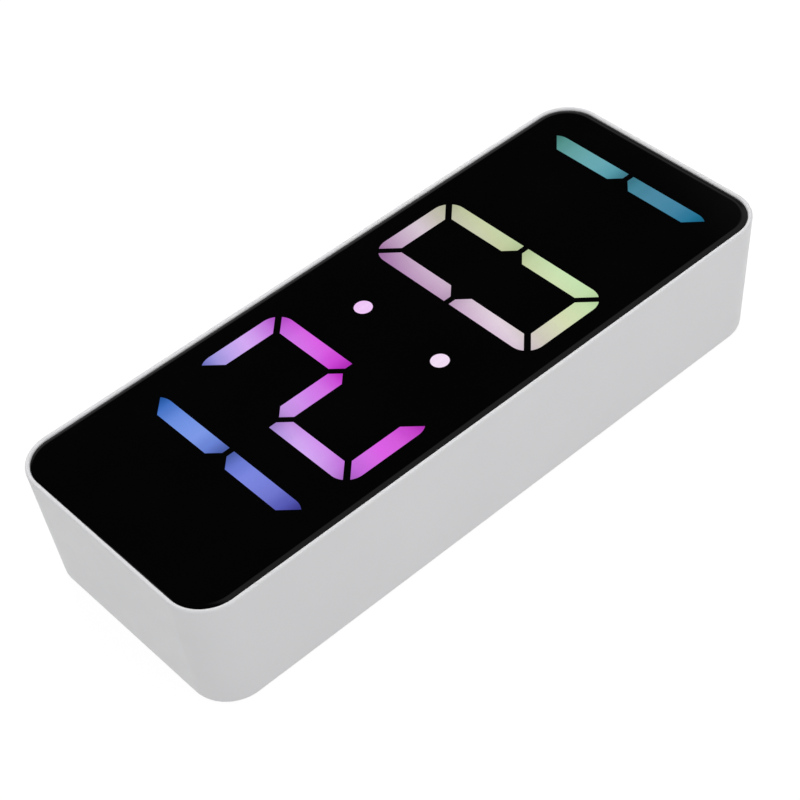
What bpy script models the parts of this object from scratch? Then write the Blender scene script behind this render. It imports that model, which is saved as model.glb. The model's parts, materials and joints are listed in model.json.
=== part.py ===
"""Desk clock with a lit seven-segment display in a white tub.

It lies on its back: width along X, height along Y, depth along Z, with the origin in the middle of the back.
All sizes are in metres.
"""

import math

import bmesh
import bpy
from mathutils import Matrix, Vector

# Fits and cuts
GAP = 0.0003  # left between two pieces that touch
OVERRUN = 0.0010  # how far a cut runs past the face that it opens
ROOT = 0.0006  # how far a post or a wall reaches into what it grows from
ARC_STEPS = 8  # steps in a quarter turn of a large corner
SMALL_ARC_STEPS = 3
ROUND_STEPS = 20  # steps round a small cylinder
SCREW_STEPS = 14
WIRE_STEPS = 2  # in a quarter turn of a wire

# Housing: a tub that narrows a little towards its back. Its width follows from what it holds.
HEIGHT = 0.0625
DEPTH = 0.0312
CORNER_RADIUS = 0.0094
END_DRAFT = 0.00185  # what each end leans in from front to back
SIDE_DRAFT = 0.00117  # what each long side leans in from front to back
BACK_FILLET = 0.0015
RIM = 0.00114  # the lip round the panel
RIM_EDGE = 0.00025
WALL = 0.0022
BACK_WALL = 0.0022

# Front panel
PANEL_RECESS = 0.00015
PANEL_THICKNESS = 0.0018
PANEL_EDGE = 0.0006

# Display layout, with the middle of the colon at DISPLAY_SHIFT
DISPLAY_END_MARGIN = 0.00924  # from the panel's seat to the first and the last digit
DISPLAY_SIDE_MARGIN = 0.00561
DIGIT_SPACE = 0.00901  # between the two digits of a pair
COLON_SPACE = 0.02587  # between the two inner digits
STROKE = 0.0045
SEGMENT_GAP = 0.00135
STROKE_END = 0.0020  # the square part of an upright stroke's end at mid height
DOT_RADIUS = 0.0022
DOT_HEIGHT = 0.0120  # each dot's middle, above and below mid height
DISPLAY_SHIFT = -0.0005
LIT_SEGMENTS = ("bc", "abdeg", "abcdef", "bc")
ALL_SEGMENTS = "abcdefg"

# Diffusers, segment frame and display board
DIFFUSER_PLATE = 0.0008
DIFFUSER_MARGIN = 0.0012
PLUG_DEPTH = 0.0012
FRAME_BORE_CAP = 0.0019  # what each blind bore leaves of the frame's depth
BOARD_THICKNESS = 0.0016
LED_SIZE = 0.0020
LED_HEIGHT = 0.0009
LED_SPREAD = 0.0100  # between the two LEDs behind one segment

# Case screws, from the back through the corner posts into the frame
CASE_SCREW_RADIUS = 0.0013
CASE_HEAD_RADIUS = 0.0023
CASE_HEAD_HEIGHT = 0.0018
CASE_SCREW_END = 0.0010  # from its tip to the bore's end
CASE_BORE_RADIUS = 0.0026
POST_WALL = 0.0015
POST_CAP = 0.0025
POST_END_INSET = 0.0068  # from the housing's end to the post's middle
POST_SIDE_INSET = 0.0085

# Small screws of the main board and the battery door
SMALL_SCREW_RADIUS = 0.0010
SMALL_HEAD_RADIUS = 0.0019
SMALL_HEAD_HEIGHT = 0.0013
SMALL_SCREW_LENGTH = 0.0050
SMALL_POST_RADIUS = 0.0028
CROSS_WIDTH_SHARE = 0.26  # of the head's radius
CROSS_LENGTH_SHARE = 0.62
CROSS_DEPTH_SHARE = 0.55  # of the head's height

# Buttons and their switches
BUTTON_RADIUS = 0.0035
BUTTON_RECESS = 0.0005
BUTTON_EDGE = 0.0005
BUTTON_FLANGE_RADIUS = 0.0047
BUTTON_FLANGE = 0.0010
BUTTON_PIN_RADIUS = 0.0013
BUTTON_PIN = 0.0003
BUTTON_TRAVEL = 0.0006
BUTTON_PITCH = 0.0110
BUTTON_COUNT = 4
BUTTON_ROW_INSET = 0.0090  # from the main board's upper edge
SWITCH_SIZE = 0.0060
SWITCH_HEIGHT = 0.0035
PLUNGER_RADIUS = 0.0016
PLUNGER_OUT = 0.0012
PLUNGER_IN = 0.0010

# Main board and what stands on it
MAIN_BOARD_WIDTH = 0.0540
MAIN_BOARD_HEIGHT = 0.0420
MAIN_BOARD_INSET = 0.0160  # from the housing's left end
MAIN_SCREW_INSET = 0.0030
BUZZER_RADIUS = 0.0060
BUZZER_HEIGHT = 0.0055
BUZZER_HOLE_RADIUS = 0.0010
BUZZER_HOLE_DEPTH = 0.0015
BUZZER_FROM_LEFT = 0.0160  # this and the next ones are from the main board's edges
BUZZER_FROM_BELOW = 0.0135
SOUND_HOLE_RADIUS = 0.0008
SOUND_HOLE_CIRCLE = 0.0032
SOUND_HOLE_COUNT = 6
SOCKET_WIDTH = 0.0090
SOCKET_THICKNESS = 0.0033
SOCKET_WALL = 0.0004
SOCKET_CAVITY = 0.0060
SOCKET_RECESS = 0.0006
SOCKET_TONGUE_WIDTH = 0.0066
SOCKET_TONGUE_THICKNESS = 0.0007
SOCKET_TONGUE_RECESS = 0.0009
SOCKET_FROM_RIGHT = 0.0140
SOCKET_FROM_BELOW = 0.0120
CHIP_SIZE = 0.0070
CHIP_HEIGHT = 0.0014
CHIP_EDGE = 0.0003
CHIP_FROM_BELOW = 0.0230
CRYSTAL_RADIUS = 0.0010
CRYSTAL_LENGTH = 0.0060
CRYSTAL_SPACE = 0.0025  # from the chip
CAPACITOR_RADIUS = 0.0025
CAPACITOR_HEIGHT = 0.0052
CAPACITOR_EDGE = 0.0004
CAPACITOR_FROM_RIGHT = 0.0110
CAPACITOR_FROM_BELOW = 0.0270
HEADER_WIDTH = 0.0200
HEADER_THICKNESS = 0.0025
HEADER_FROM_BELOW = 0.0050
HEADER_PIN = 0.0006
HEADER_PIN_PITCH = 0.00254
HEADER_PIN_COUNT = 7
HEADER_PIN_OUT = 0.0015

# Cells, contacts and battery bay
CELL_RADIUS = 0.00525
CELL_LENGTH = 0.0445
CELL_NUB_RADIUS = 0.0019
CELL_NUB = 0.0008
CELL_EDGE = 0.0004
CELL_COUNT = 3
CELL_SPACE = 0.0004  # between two cells
CONTACT_THICKNESS = 0.0004
CONTACT_WIDTH = 0.0080
CONTACT_TAIL = 0.0015
SPRING_LENGTH = 0.0045
SPRING_RADIUS = 0.0030
SPRING_WIRE = 0.0003
SPRING_TURNS = 3.5
SPRING_TURN_POINTS = 10
BAY_WALL = 0.0016
BAY_SPACE = 0.00355  # from the bay's top to the posts' tops, for the leads
BAY_CORNER = 0.0010

# Battery door
DOOR_THICKNESS = 0.0016
DOOR_RECESS = 0.0003
DOOR_LEDGE = 0.0020
DOOR_EAR = 0.0090
DOOR_INSET = 0.0170  # from the housing's right end
DOOR_TO_BOARD = 0.0087
DOOR_CORNER = 0.0020
DOOR_EDGE = 0.0002
DOOR_FRAME_MARGIN = 0.0014
DOOR_FRAME_DEPTH = 0.0020
DOOR_BOSS_HEIGHT = 0.0040
DOOR_GRIP_COUNT = 4
DOOR_GRIP_LENGTH = 0.0120
DOOR_GRIP_WIDTH = 0.0008
DOOR_GRIP_DEPTH = 0.0004
DOOR_GRIP_PITCH = 0.0018
DOOR_GRIP_INSET = 0.0040

# Battery leads
LEAD_RADIUS = 0.0005
LEAD_REACH = 0.0022  # how far a lead runs straight out of a contact before it bends
LEAD_RISE = 0.0020  # how far a lead arches over the board's edge
LEAD_PAD_INSET = 0.0025  # from the board's right edge
LEAD_CHANNEL = 0.0030  # from the bay's outer wall to the long lead

# Levels, from the back forward
FLANGE_BOTTOM = BACK_WALL + GAP
FLANGE_TOP = FLANGE_BOTTOM + BUTTON_FLANGE
PIN_TOP = FLANGE_TOP + BUTTON_PIN
PLUNGER_BOTTOM = PIN_TOP + GAP
SWITCH_BOTTOM = PLUNGER_BOTTOM + PLUNGER_OUT
SWITCH_TOP = SWITCH_BOTTOM + SWITCH_HEIGHT
MAIN_BOARD_BOTTOM = SWITCH_TOP + GAP
MAIN_BOARD_TOP = MAIN_BOARD_BOTTOM + BOARD_THICKNESS
CELL_MIDDLE = DOOR_RECESS + DOOR_THICKNESS + GAP + CELL_RADIUS
BAY_CEILING = CELL_MIDDLE + CELL_RADIUS + GAP
BAY_TOP = BAY_CEILING + BAY_WALL
DOOR_BOSS_TOP = BACK_WALL + DOOR_FRAME_DEPTH + DOOR_BOSS_HEIGHT
POST_TOP = BAY_TOP + BAY_SPACE
BOARD_BOTTOM = POST_TOP + GAP
BOARD_TOP = BOARD_BOTTOM + BOARD_THICKNESS
FRAME_BOTTOM = BOARD_TOP + GAP

# Levels, from the front back
PANEL_TOP = DEPTH - PANEL_RECESS
PANEL_BOTTOM = PANEL_TOP - PANEL_THICKNESS
LEDGE = PANEL_BOTTOM - GAP
DIFFUSER_TOP = PANEL_BOTTOM - GAP
DIFFUSER_BOTTOM = DIFFUSER_TOP - DIFFUSER_PLATE
FRAME_TOP = DIFFUSER_BOTTOM - GAP

# Case screws
FRAME_BORE_TOP = FRAME_TOP - FRAME_BORE_CAP
CASE_HEAD_TOP = POST_TOP - POST_CAP - GAP
CASE_SCREW_LENGTH = FRAME_BORE_TOP - CASE_SCREW_END - CASE_HEAD_TOP

# Plan, from the right end to the left
CELL_PITCH = 2 * CELL_RADIUS + CELL_SPACE
CONTACT_STACK = GAP + CONTACT_THICKNESS + GAP
BAY_LENGTH = 2 * CONTACT_STACK + CELL_LENGTH + GAP + SPRING_LENGTH
BAY_WIDTH = (CELL_COUNT - 1) * CELL_PITCH + 2 * CELL_RADIUS + 2 * GAP
DOOR_LENGTH = BAY_LENGTH + 2 * DOOR_LEDGE + DOOR_EAR
DOOR_WIDTH = BAY_WIDTH + 2 * DOOR_LEDGE
WIDTH = DOOR_INSET + DOOR_LENGTH + DOOR_TO_BOARD + MAIN_BOARD_WIDTH + MAIN_BOARD_INSET
DOOR_RIGHT = WIDTH / 2 - DOOR_INSET
DOOR_LEFT = DOOR_RIGHT - DOOR_LENGTH
DOOR_SCREW_X = DOOR_RIGHT - DOOR_EAR / 2
BAY_LEFT = DOOR_LEFT + DOOR_LEDGE
BAY_RIGHT = BAY_LEFT + BAY_LENGTH
MAIN_RIGHT = DOOR_LEFT - DOOR_TO_BOARD
MAIN_LEFT = MAIN_RIGHT - MAIN_BOARD_WIDTH
MAIN_MIDDLE = (MAIN_LEFT + MAIN_RIGHT) / 2
MAIN_LOW = -MAIN_BOARD_HEIGHT / 2
MAIN_HIGH = MAIN_BOARD_HEIGHT / 2
POST_X = WIDTH / 2 - POST_END_INSET
POST_Y = HEIGHT / 2 - POST_SIDE_INSET
BUZZER_PLACE = (MAIN_LEFT + BUZZER_FROM_LEFT, MAIN_LOW + BUZZER_FROM_BELOW)
SOCKET_PLACE = (MAIN_RIGHT - SOCKET_FROM_RIGHT, MAIN_LOW + SOCKET_FROM_BELOW)
CAPACITOR_PLACE = (MAIN_RIGHT - CAPACITOR_FROM_RIGHT, MAIN_LOW + CAPACITOR_FROM_BELOW)
CHIP_Y = MAIN_LOW + CHIP_FROM_BELOW
HEADER_Y = MAIN_LOW + HEADER_FROM_BELOW

# Face: the panel's seat and the digits on it
SEAT_WIDTH = WIDTH - 2 * RIM
SEAT_HEIGHT = HEIGHT - 2 * RIM
SEAT_RADIUS = CORNER_RADIUS - RIM
DIGIT_HEIGHT = SEAT_HEIGHT - 2 * DISPLAY_SIDE_MARGIN
DIGIT_WIDTH = (SEAT_WIDTH - 2 * DISPLAY_END_MARGIN - COLON_SPACE - 2 * DIGIT_SPACE) / len(LIT_SEGMENTS)
CORNERS = ((-1, -1), (1, -1), (1, 1), (-1, 1))


def clear_scene():
    """Removes what the file opened with."""
    for obj in list(bpy.data.objects):
        bpy.data.objects.remove(obj, do_unlink=True)


def new_collection(name):
    collection = bpy.data.collections.new(name)
    bpy.context.scene.collection.children.link(collection)
    return collection


def material(name, colour, roughness, metallic=0.0, glow=0.0):
    """A Principled material; glow is the strength of its own light."""
    made = bpy.data.materials.new(name)
    made.use_nodes = True
    shader = made.node_tree.nodes["Principled BSDF"]
    shader.inputs["Base Color"].default_value = (*colour, 1.0)
    shader.inputs["Roughness"].default_value = roughness
    shader.inputs["Metallic"].default_value = metallic
    if glow:
        shader.inputs["Emission Color"].default_value = (*colour, 1.0)
        shader.inputs["Emission Strength"].default_value = glow
    made.diffuse_color = (*colour, 1.0)
    return made


def finish(name, bm, finish_material, collection, place=(0, 0, 0), parent=None):
    """One object with the shape of a bmesh."""
    mesh = bpy.data.meshes.new(name)
    bm.to_mesh(mesh)
    bm.free()
    if finish_material:
        mesh.materials.append(finish_material)
    obj = bpy.data.objects.new(name, mesh)
    obj.location = place
    obj.parent = parent
    collection.objects.link(obj)
    return obj


def cutter(name, bm):
    """A helper solid, which only shapes others."""
    obj = finish(name, bm, None, CUTTERS)
    obj.hide_render = True
    obj.display_type = "WIRE"
    return obj


def combine(obj, operation, other):
    modifier = obj.modifiers.new(other.name, "BOOLEAN")
    modifier.operation = operation
    modifier.solver = "EXACT"
    modifier.object = other


def cut(obj, name, bm):
    combine(obj, "DIFFERENCE", cutter(name, bm))


def join(obj, name, bm):
    combine(obj, "UNION", cutter(name, bm))


def add_box(bm, low, high):
    low, high = Vector(low), Vector(high)
    matrix = Matrix.Translation((low + high) / 2) @ Matrix.Diagonal((*(high - low), 1.0))
    return bmesh.ops.create_cube(bm, size=1.0, matrix=matrix)["verts"]


def box(low, high):
    bm = bmesh.new()
    add_box(bm, low, high)
    return bm


def add_cylinder(bm, radius, place, low, high, steps=ROUND_STEPS):
    """An upright cylinder over a place (x, y)."""
    matrix = Matrix.Translation((place[0], place[1], (low + high) / 2))
    bmesh.ops.create_cone(
        bm,
        cap_ends=True,
        segments=steps,
        radius1=radius,
        radius2=radius,
        depth=high - low,
        matrix=matrix,
    )


def cylinders(radius, places, low, high, steps=ROUND_STEPS):
    bm = bmesh.new()
    for place in places:
        add_cylinder(bm, radius, place, low, high, steps)
    return bm


def bevel(bm, edges, width, steps):
    bmesh.ops.bevel(bm, geom=edges, offset=width, segments=steps, profile=0.5, affect="EDGES")


def upright_edges(bm):
    return [e for e in bm.edges if abs(e.verts[0].co.z - e.verts[1].co.z) > GAP]


def level_edges(bm, level):
    return [e for e in bm.edges if all(abs(v.co.z - level) < GAP / 2 for v in e.verts)]


def rounded_block(low, high, radius, steps=ARC_STEPS):
    """A box with its four upright edges rounded."""
    bm = box(low, high)
    bevel(bm, upright_edges(bm), radius, steps)
    return bm


def half_sizes(level, inset=0.0):
    """Half the tub's width and height at a level, less an inset."""
    lean = 1 - level / DEPTH
    return WIDTH / 2 - END_DRAFT * lean - inset, HEIGHT / 2 - SIDE_DRAFT * lean - inset


def tapered_block(low, high, inset):
    """A block that keeps an inset from the tub's outside, with the tub's lean."""
    top_x, top_y = half_sizes(high, inset)
    low_x, low_y = half_sizes(low, inset)
    bm = rounded_block((-top_x, -top_y, low), (top_x, top_y, high), CORNER_RADIUS - inset)
    for vert in bm.verts:
        if vert.co.z < (low + high) / 2:
            vert.co.x *= low_x / top_x
            vert.co.y *= low_y / top_y
    return bm


def outline_solid(outlines, low, high):
    """Flat outlines, each a list of (x, y), given the depth from low to high."""
    bm = bmesh.new()
    for outline in outlines:
        base = bm.faces.new([bm.verts.new((x, y, low)) for x, y in outline])
        raised = bmesh.ops.extrude_face_region(bm, geom=[base], use_keep_orig=True)["geom"]
        verts = [element for element in raised if isinstance(element, bmesh.types.BMVert)]
        bmesh.ops.translate(bm, verts=verts, vec=(0, 0, high - low))
    bmesh.ops.recalc_face_normals(bm, faces=bm.faces)
    return bm


def evaluated_mesh(obj):
    """The mesh that an object's curve or modifiers make."""
    bpy.context.view_layer.update()
    graph = bpy.context.evaluated_depsgraph_get()
    return bpy.data.meshes.new_from_object(obj.evaluated_get(graph))


def wire_solid(points, radius):
    """A round wire along the points, with closed ends, as a bmesh."""
    curve = bpy.data.curves.new("wire", "CURVE")
    curve.dimensions = "3D"
    curve.bevel_depth = radius
    curve.bevel_resolution = WIRE_STEPS
    curve.use_fill_caps = True
    spline = curve.splines.new("POLY")
    spline.points.add(len(points) - 1)
    for point, place in zip(spline.points, points):
        point.co = (*place, 1.0)
    guide = bpy.data.objects.new("guide", curve)
    bpy.context.scene.collection.objects.link(guide)
    mesh = evaluated_mesh(guide)
    bm = bmesh.new()
    bm.from_mesh(mesh)
    bmesh.ops.remove_doubles(bm, verts=bm.verts, dist=GAP / 100)
    bmesh.ops.recalc_face_normals(bm, faces=bm.faces)
    bpy.data.objects.remove(guide, do_unlink=True)
    bpy.data.curves.remove(curve)
    bpy.data.meshes.remove(mesh)
    return bm


def turned(name, profile, finish_material, place, parent=None, steps=ROUND_STEPS):
    """A piece turned round Z from its profile of (radius, level), listed from the top down."""
    bm = bmesh.new()
    verts = [bm.verts.new((radius, 0.0, level)) for radius, level in profile]
    for first, second in zip(verts, verts[1:]):
        bm.edges.new((first, second))
    obj = finish(name, bm, finish_material, CLOCK, place, parent)
    screw = obj.modifiers.new("turn", "SCREW")
    screw.steps = steps
    screw.render_steps = steps
    screw.use_merge_vertices = True
    screw.merge_threshold = GAP / 100
    obj.data = evaluated_mesh(obj)
    obj.modifiers.clear()
    return shade(obj)


def shade(obj):
    """Smooth shading, with edges kept sharp where faces meet at an angle."""
    obj.data.shade_smooth()
    obj.data.set_sharp_from_angle(angle=math.radians(35))
    return obj


def grown(outline, by):
    """A convex outline, listed anticlockwise, moved outwards by a distance."""
    points = [Vector(point) for point in outline]
    result = []
    for before, point, after in zip(points[-1:] + points[:-1], points, points[1:] + points[:1]):
        first = (point - before).normalized()
        second = (after - point).normalized()
        out_first = Vector((first.y, -first.x))
        out_second = Vector((second.y, -second.x))
        result.append(point + (out_first + out_second) * by / (1 + out_first.dot(out_second)))
    return [tuple(point) for point in result]


def arc(middle, radius, start, end, steps):
    """Points on an arc between two angles in radians."""
    turns = [start + (end - start) * k / steps for k in range(steps + 1)]
    return [(middle[0] + radius * math.cos(t), middle[1] + radius * math.sin(t)) for t in turns]


def upper_left_stroke():
    """Rounded at the digit's corner, mitred against the top stroke and part chamfered at mid height."""
    left, top = -DIGIT_WIDTH / 2, DIGIT_HEIGHT / 2
    mitre = SEGMENT_GAP / math.sqrt(2)
    meet = math.pi / 4 - math.asin(mitre / (STROKE * math.sqrt(2)))
    outer = arc((left + STROKE, top - STROKE), STROKE, math.pi - meet, math.pi, SMALL_ARC_STEPS)
    low = SEGMENT_GAP / 2
    return outer + [
        (left, low),
        (left + STROKE_END, low),
        (left + STROKE, low + STROKE - STROKE_END),
        (left + STROKE, top - STROKE - mitre),
    ]


def top_stroke():
    """The top stroke, mitred at both ends, with the digit's outer corners rounded."""
    left, top = -DIGIT_WIDTH / 2, DIGIT_HEIGHT / 2
    mitre = SEGMENT_GAP / math.sqrt(2)
    meet = math.pi / 4 + math.asin(mitre / (STROKE * math.sqrt(2)))
    outer = arc((left + STROKE, top - STROKE), STROKE, math.pi / 2, math.pi - meet, SMALL_ARC_STEPS)
    half = outer + [(left + STROKE + mitre, top - STROKE)]
    return half + [(-x, y) for x, y in reversed(half)]


def middle_stroke():
    """The middle stroke, pointed at both ends."""
    tip = DIGIT_WIDTH / 2 - STROKE_END - SEGMENT_GAP * (math.sqrt(2) - 1 / 2)
    half = STROKE / 2
    right = [(tip - half, -half), (tip, 0), (tip - half, half)]
    return right + [(-x, -y) for x, y in right]


def flipped(outline, across, down):
    """An outline mirrored left to right, top to bottom, or both, still listed anticlockwise."""
    points = [(-x if across else x, -y if down else y) for x, y in outline]
    return points[::-1] if across != down else points


def digit_outlines():
    """The seven strokes of a digit by their usual letters, about the digit's middle."""
    upper_left = upper_left_stroke()
    top = top_stroke()
    return {
        "a": top,
        "b": flipped(upper_left, True, False),
        "c": flipped(upper_left, True, True),
        "d": flipped(top, False, True),
        "e": flipped(upper_left, False, True),
        "f": upper_left,
        "g": middle_stroke(),
    }


def digit_places():
    """The middle of each digit along X, from the left."""
    inner = (COLON_SPACE + DIGIT_WIDTH) / 2
    outer = inner + DIGIT_WIDTH + DIGIT_SPACE
    return [DISPLAY_SHIFT + offset for offset in (-outer, -inner, inner, outer)]


def dot_outline(side):
    """The colon's upper (side 1) or lower (side -1) dot."""
    middle = (DISPLAY_SHIFT, side * DOT_HEIGHT)
    return arc(middle, DOT_RADIUS, 0, 2 * math.pi, ROUND_STEPS)[:-1]


def moved(outline, across):
    return [(x + across, y) for x, y in outline]


def stroke_outlines(letters):
    """Outlines of the named strokes of every digit, in place. letters holds one string for each digit."""
    strokes = digit_outlines()
    return [
        moved(strokes[letter], across) for across, named in zip(digit_places(), letters) for letter in named
    ]


def dot_outlines():
    return [dot_outline(1), dot_outline(-1)]


def post_places():
    return [(x * POST_X, y * POST_Y) for x, y in CORNERS]


def main_screw_places():
    across = MAIN_BOARD_WIDTH / 2 - MAIN_SCREW_INSET
    up = MAIN_BOARD_HEIGHT / 2 - MAIN_SCREW_INSET
    return [(MAIN_MIDDLE + x * across, y * up) for x, y in CORNERS]


def button_places():
    first = MAIN_MIDDLE - (BUTTON_COUNT - 1) / 2 * BUTTON_PITCH
    return [(first + k * BUTTON_PITCH, MAIN_HIGH - BUTTON_ROW_INSET) for k in range(BUTTON_COUNT)]


def cell_places():
    """The middle of each cell along Y, from the top."""
    return [((CELL_COUNT - 1) / 2 - k) * CELL_PITCH for k in range(CELL_COUNT)]


def stadium(width, height, middle, low, high):
    """An upright block with half-round ends."""
    x, y = middle
    corners = (x - width / 2, y - height / 2, low), (x + width / 2, y + height / 2, high)
    return rounded_block(*corners, height / 2 - GAP / 10, SMALL_ARC_STEPS)


def tail_place(side):
    """The end of a contact's tail: the upper cell's at the left (side -1), the lower cell's at the right."""
    wall = BAY_LEFT if side < 0 else BAY_RIGHT
    return wall + side * (BAY_WALL + CONTACT_TAIL), -side * CELL_PITCH * (CELL_COUNT - 1) / 2


def sound_hole_places():
    ring = arc(BUZZER_PLACE, SOUND_HOLE_CIRCLE, 0, 2 * math.pi, SOUND_HOLE_COUNT)[:-1]
    return [BUZZER_PLACE] + ring


def build_housing(white):
    """The tub: an outer shell, hollowed, with a seat for the panel round its mouth."""
    shell = tapered_block(0, DEPTH, 0)
    bevel(shell, level_edges(shell, 0), BACK_FILLET, SMALL_ARC_STEPS)
    bevel(shell, level_edges(shell, DEPTH), RIM_EDGE, 1)
    housing = shade(finish("housing", shell, white, CLOCK))
    cut(housing, "tub_hollow", tapered_block(BACK_WALL, LEDGE + OVERRUN / 2, WALL))
    seat_low = (-SEAT_WIDTH / 2, -SEAT_HEIGHT / 2, LEDGE)
    seat_high = (SEAT_WIDTH / 2, SEAT_HEIGHT / 2, DEPTH + OVERRUN)
    cut(housing, "panel_seat", rounded_block(seat_low, seat_high, SEAT_RADIUS))
    add_posts(housing)
    add_battery_bay(housing)
    cut_back_openings(housing)
    cut_screw_holes(housing)


def add_posts(housing):
    """Four posts for the case screws and four for the main board."""
    floor = BACK_WALL - ROOT
    post_radius = CASE_BORE_RADIUS + POST_WALL
    join(housing, "corner_posts", cylinders(post_radius, post_places(), floor, POST_TOP))
    board_posts = cylinders(SMALL_POST_RADIUS, main_screw_places(), floor, MAIN_BOARD_BOTTOM - GAP)
    join(housing, "board_posts", board_posts)


def add_battery_bay(housing):
    """A box round the cells, open at the back, with a rebate for the door and a boss for its screw."""
    half = BAY_WIDTH / 2
    wall_low = (BAY_LEFT - BAY_WALL, -half - BAY_WALL, BACK_WALL - ROOT)
    wall_high = (BAY_RIGHT + BAY_WALL, half + BAY_WALL, BAY_TOP)
    join(housing, "bay_walls", rounded_block(wall_low, wall_high, BAY_CORNER, SMALL_ARC_STEPS))
    reach = DOOR_WIDTH / 2 + DOOR_FRAME_MARGIN
    frame_low = (DOOR_LEFT - DOOR_FRAME_MARGIN, -reach, BACK_WALL - 3 * ROOT / 2)
    frame_high = (DOOR_RIGHT + DOOR_FRAME_MARGIN, reach, BACK_WALL + DOOR_FRAME_DEPTH)
    join(housing, "door_frame", rounded_block(frame_low, frame_high, DOOR_CORNER, SMALL_ARC_STEPS))
    boss = cylinders(SMALL_POST_RADIUS, [(DOOR_SCREW_X, 0)], BACK_WALL + ROOT, DOOR_BOSS_TOP)
    join(housing, "door_boss", boss)
    cut(housing, "bay_hollow", box((BAY_LEFT, -half, -OVERRUN), (BAY_RIGHT, half, BAY_CEILING)))
    reach = DOOR_WIDTH / 2 + GAP
    rebate_low, rebate_high = (DOOR_LEFT - GAP, -reach, -OVERRUN), (DOOR_RIGHT + GAP, reach, BACK_WALL)
    cut(housing, "door_rebate", rounded_block(rebate_low, rebate_high, DOOR_CORNER, SMALL_ARC_STEPS))
    slots = bmesh.new()
    for side in (-1, 1):
        end, across = tail_place(side)
        inner = end - side * (CONTACT_TAIL + BAY_WALL + OVERRUN)
        half, thick = CONTACT_TAIL / 2 + GAP, CONTACT_THICKNESS / 2 + GAP
        low = (min(end, inner), across - half, CELL_MIDDLE - thick)
        high = (max(end, inner), across + half, CELL_MIDDLE + thick)
        add_box(slots, low, high)
    cut(housing, "tail_slots", slots)


def cut_back_openings(housing):
    """Round holes for the buttons and the buzzer's sound, and one for the power socket."""
    low, high = -OVERRUN, BACK_WALL + OVERRUN
    holes = cylinders(BUTTON_RADIUS + GAP, button_places(), low, high)
    for place in sound_hole_places():
        add_cylinder(holes, SOUND_HOLE_RADIUS, place, low, high, ROUND_STEPS // 2)
    cut(housing, "back_holes", holes)
    sizes = (SOCKET_WIDTH + 2 * GAP, SOCKET_THICKNESS + 2 * GAP)
    cut(housing, "socket_hole", stadium(*sizes, SOCKET_PLACE, low, high))


def cut_screw_holes(housing):
    """Blind bores in the small posts and the boss, and wells and through holes in the corner posts."""
    hole = SMALL_SCREW_RADIUS + GAP
    bores = cylinders(hole, main_screw_places(), BACK_WALL + ROOT, MAIN_BOARD_BOTTOM + OVERRUN)
    add_cylinder(bores, hole, (DOOR_SCREW_X, 0), BACK_WALL - OVERRUN, DOOR_BOSS_TOP - POST_WALL)
    cut(housing, "small_bores", bores)
    cut(housing, "screw_wells", cylinders(CASE_BORE_RADIUS, post_places(), -OVERRUN, POST_TOP - POST_CAP))
    hole = CASE_SCREW_RADIUS + GAP
    cut(housing, "post_holes", cylinders(hole, post_places(), CASE_HEAD_TOP, POST_TOP + OVERRUN))


def build_front_panel(black):
    """The black panel, open where a lit segment comes up through it."""
    half_x, half_y = SEAT_WIDTH / 2 - GAP, SEAT_HEIGHT / 2 - GAP
    low, high = (-half_x, -half_y, PANEL_BOTTOM), (half_x, half_y, PANEL_TOP)
    plate = rounded_block(low, high, SEAT_RADIUS - GAP)
    bevel(plate, level_edges(plate, PANEL_TOP), PANEL_EDGE, SMALL_ARC_STEPS)
    panel = finish("front_panel", plate, black, CLOCK)
    windows = [grown(outline, GAP) for outline in stroke_outlines(LIT_SEGMENTS) + dot_outlines()]
    low, high = PANEL_BOTTOM - OVERRUN, PANEL_TOP + OVERRUN
    cut(panel, "panel_windows", outline_solid(windows, low, high))
    shade(panel)


def build_diffuser(name, outlines, lit, colour):
    """A translucent plate with its lit strokes up to the panel's face and a plug below every stroke."""
    xs = [x for outline in outlines for x, _ in outline]
    ys = [y for outline in outlines for _, y in outline]
    low = (min(xs) - DIFFUSER_MARGIN, min(ys) - DIFFUSER_MARGIN, DIFFUSER_BOTTOM)
    high = (max(xs) + DIFFUSER_MARGIN, max(ys) + DIFFUSER_MARGIN, DIFFUSER_TOP)
    glow = material(name, colour, 0.35, glow=1.0)
    plate = rounded_block(low, high, DIFFUSER_MARGIN, SMALL_ARC_STEPS)
    diffuser = finish(name, plate, glow, CLOCK)
    middle = (DIFFUSER_TOP + DIFFUSER_BOTTOM) / 2
    join(diffuser, name + "_lit", outline_solid(lit, middle, PANEL_TOP))
    plugs = [grown(outline, -GAP) for outline in outlines]
    join(diffuser, name + "_plugs", outline_solid(plugs, DIFFUSER_BOTTOM - PLUG_DEPTH, middle))


def build_diffusers():
    colours = ((0.16, 0.27, 0.72), (0.62, 0.28, 0.80), (0.62, 0.68, 0.48), (0.08, 0.33, 0.42))
    strokes = digit_outlines()
    for k, across in enumerate(digit_places()):
        every = [moved(strokes[letter], across) for letter in ALL_SEGMENTS]
        lit = [moved(strokes[letter], across) for letter in LIT_SEGMENTS[k]]
        build_diffuser(f"digit_diffuser_{k + 1}", every, lit, colours[k])
    build_diffuser("colon_diffuser", dot_outlines(), dot_outlines(), (0.84, 0.52, 0.86))


def build_segment_frame(black):
    """The moulding that keeps each segment's light apart."""
    inset = WALL + GAP
    frame = finish("segment_frame", tapered_block(FRAME_BOTTOM, FRAME_TOP, inset), black, CLOCK)
    cells = stroke_outlines([ALL_SEGMENTS] * len(LIT_SEGMENTS)) + dot_outlines()
    low, high = FRAME_BOTTOM - OVERRUN, FRAME_TOP + OVERRUN
    cut(frame, "frame_cells", outline_solid(cells, low, high))
    bore = CASE_SCREW_RADIUS + GAP
    cut(frame, "frame_bores", cylinders(bore, post_places(), FRAME_BOTTOM - OVERRUN, FRAME_BORE_TOP))
    shade(frame)


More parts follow.
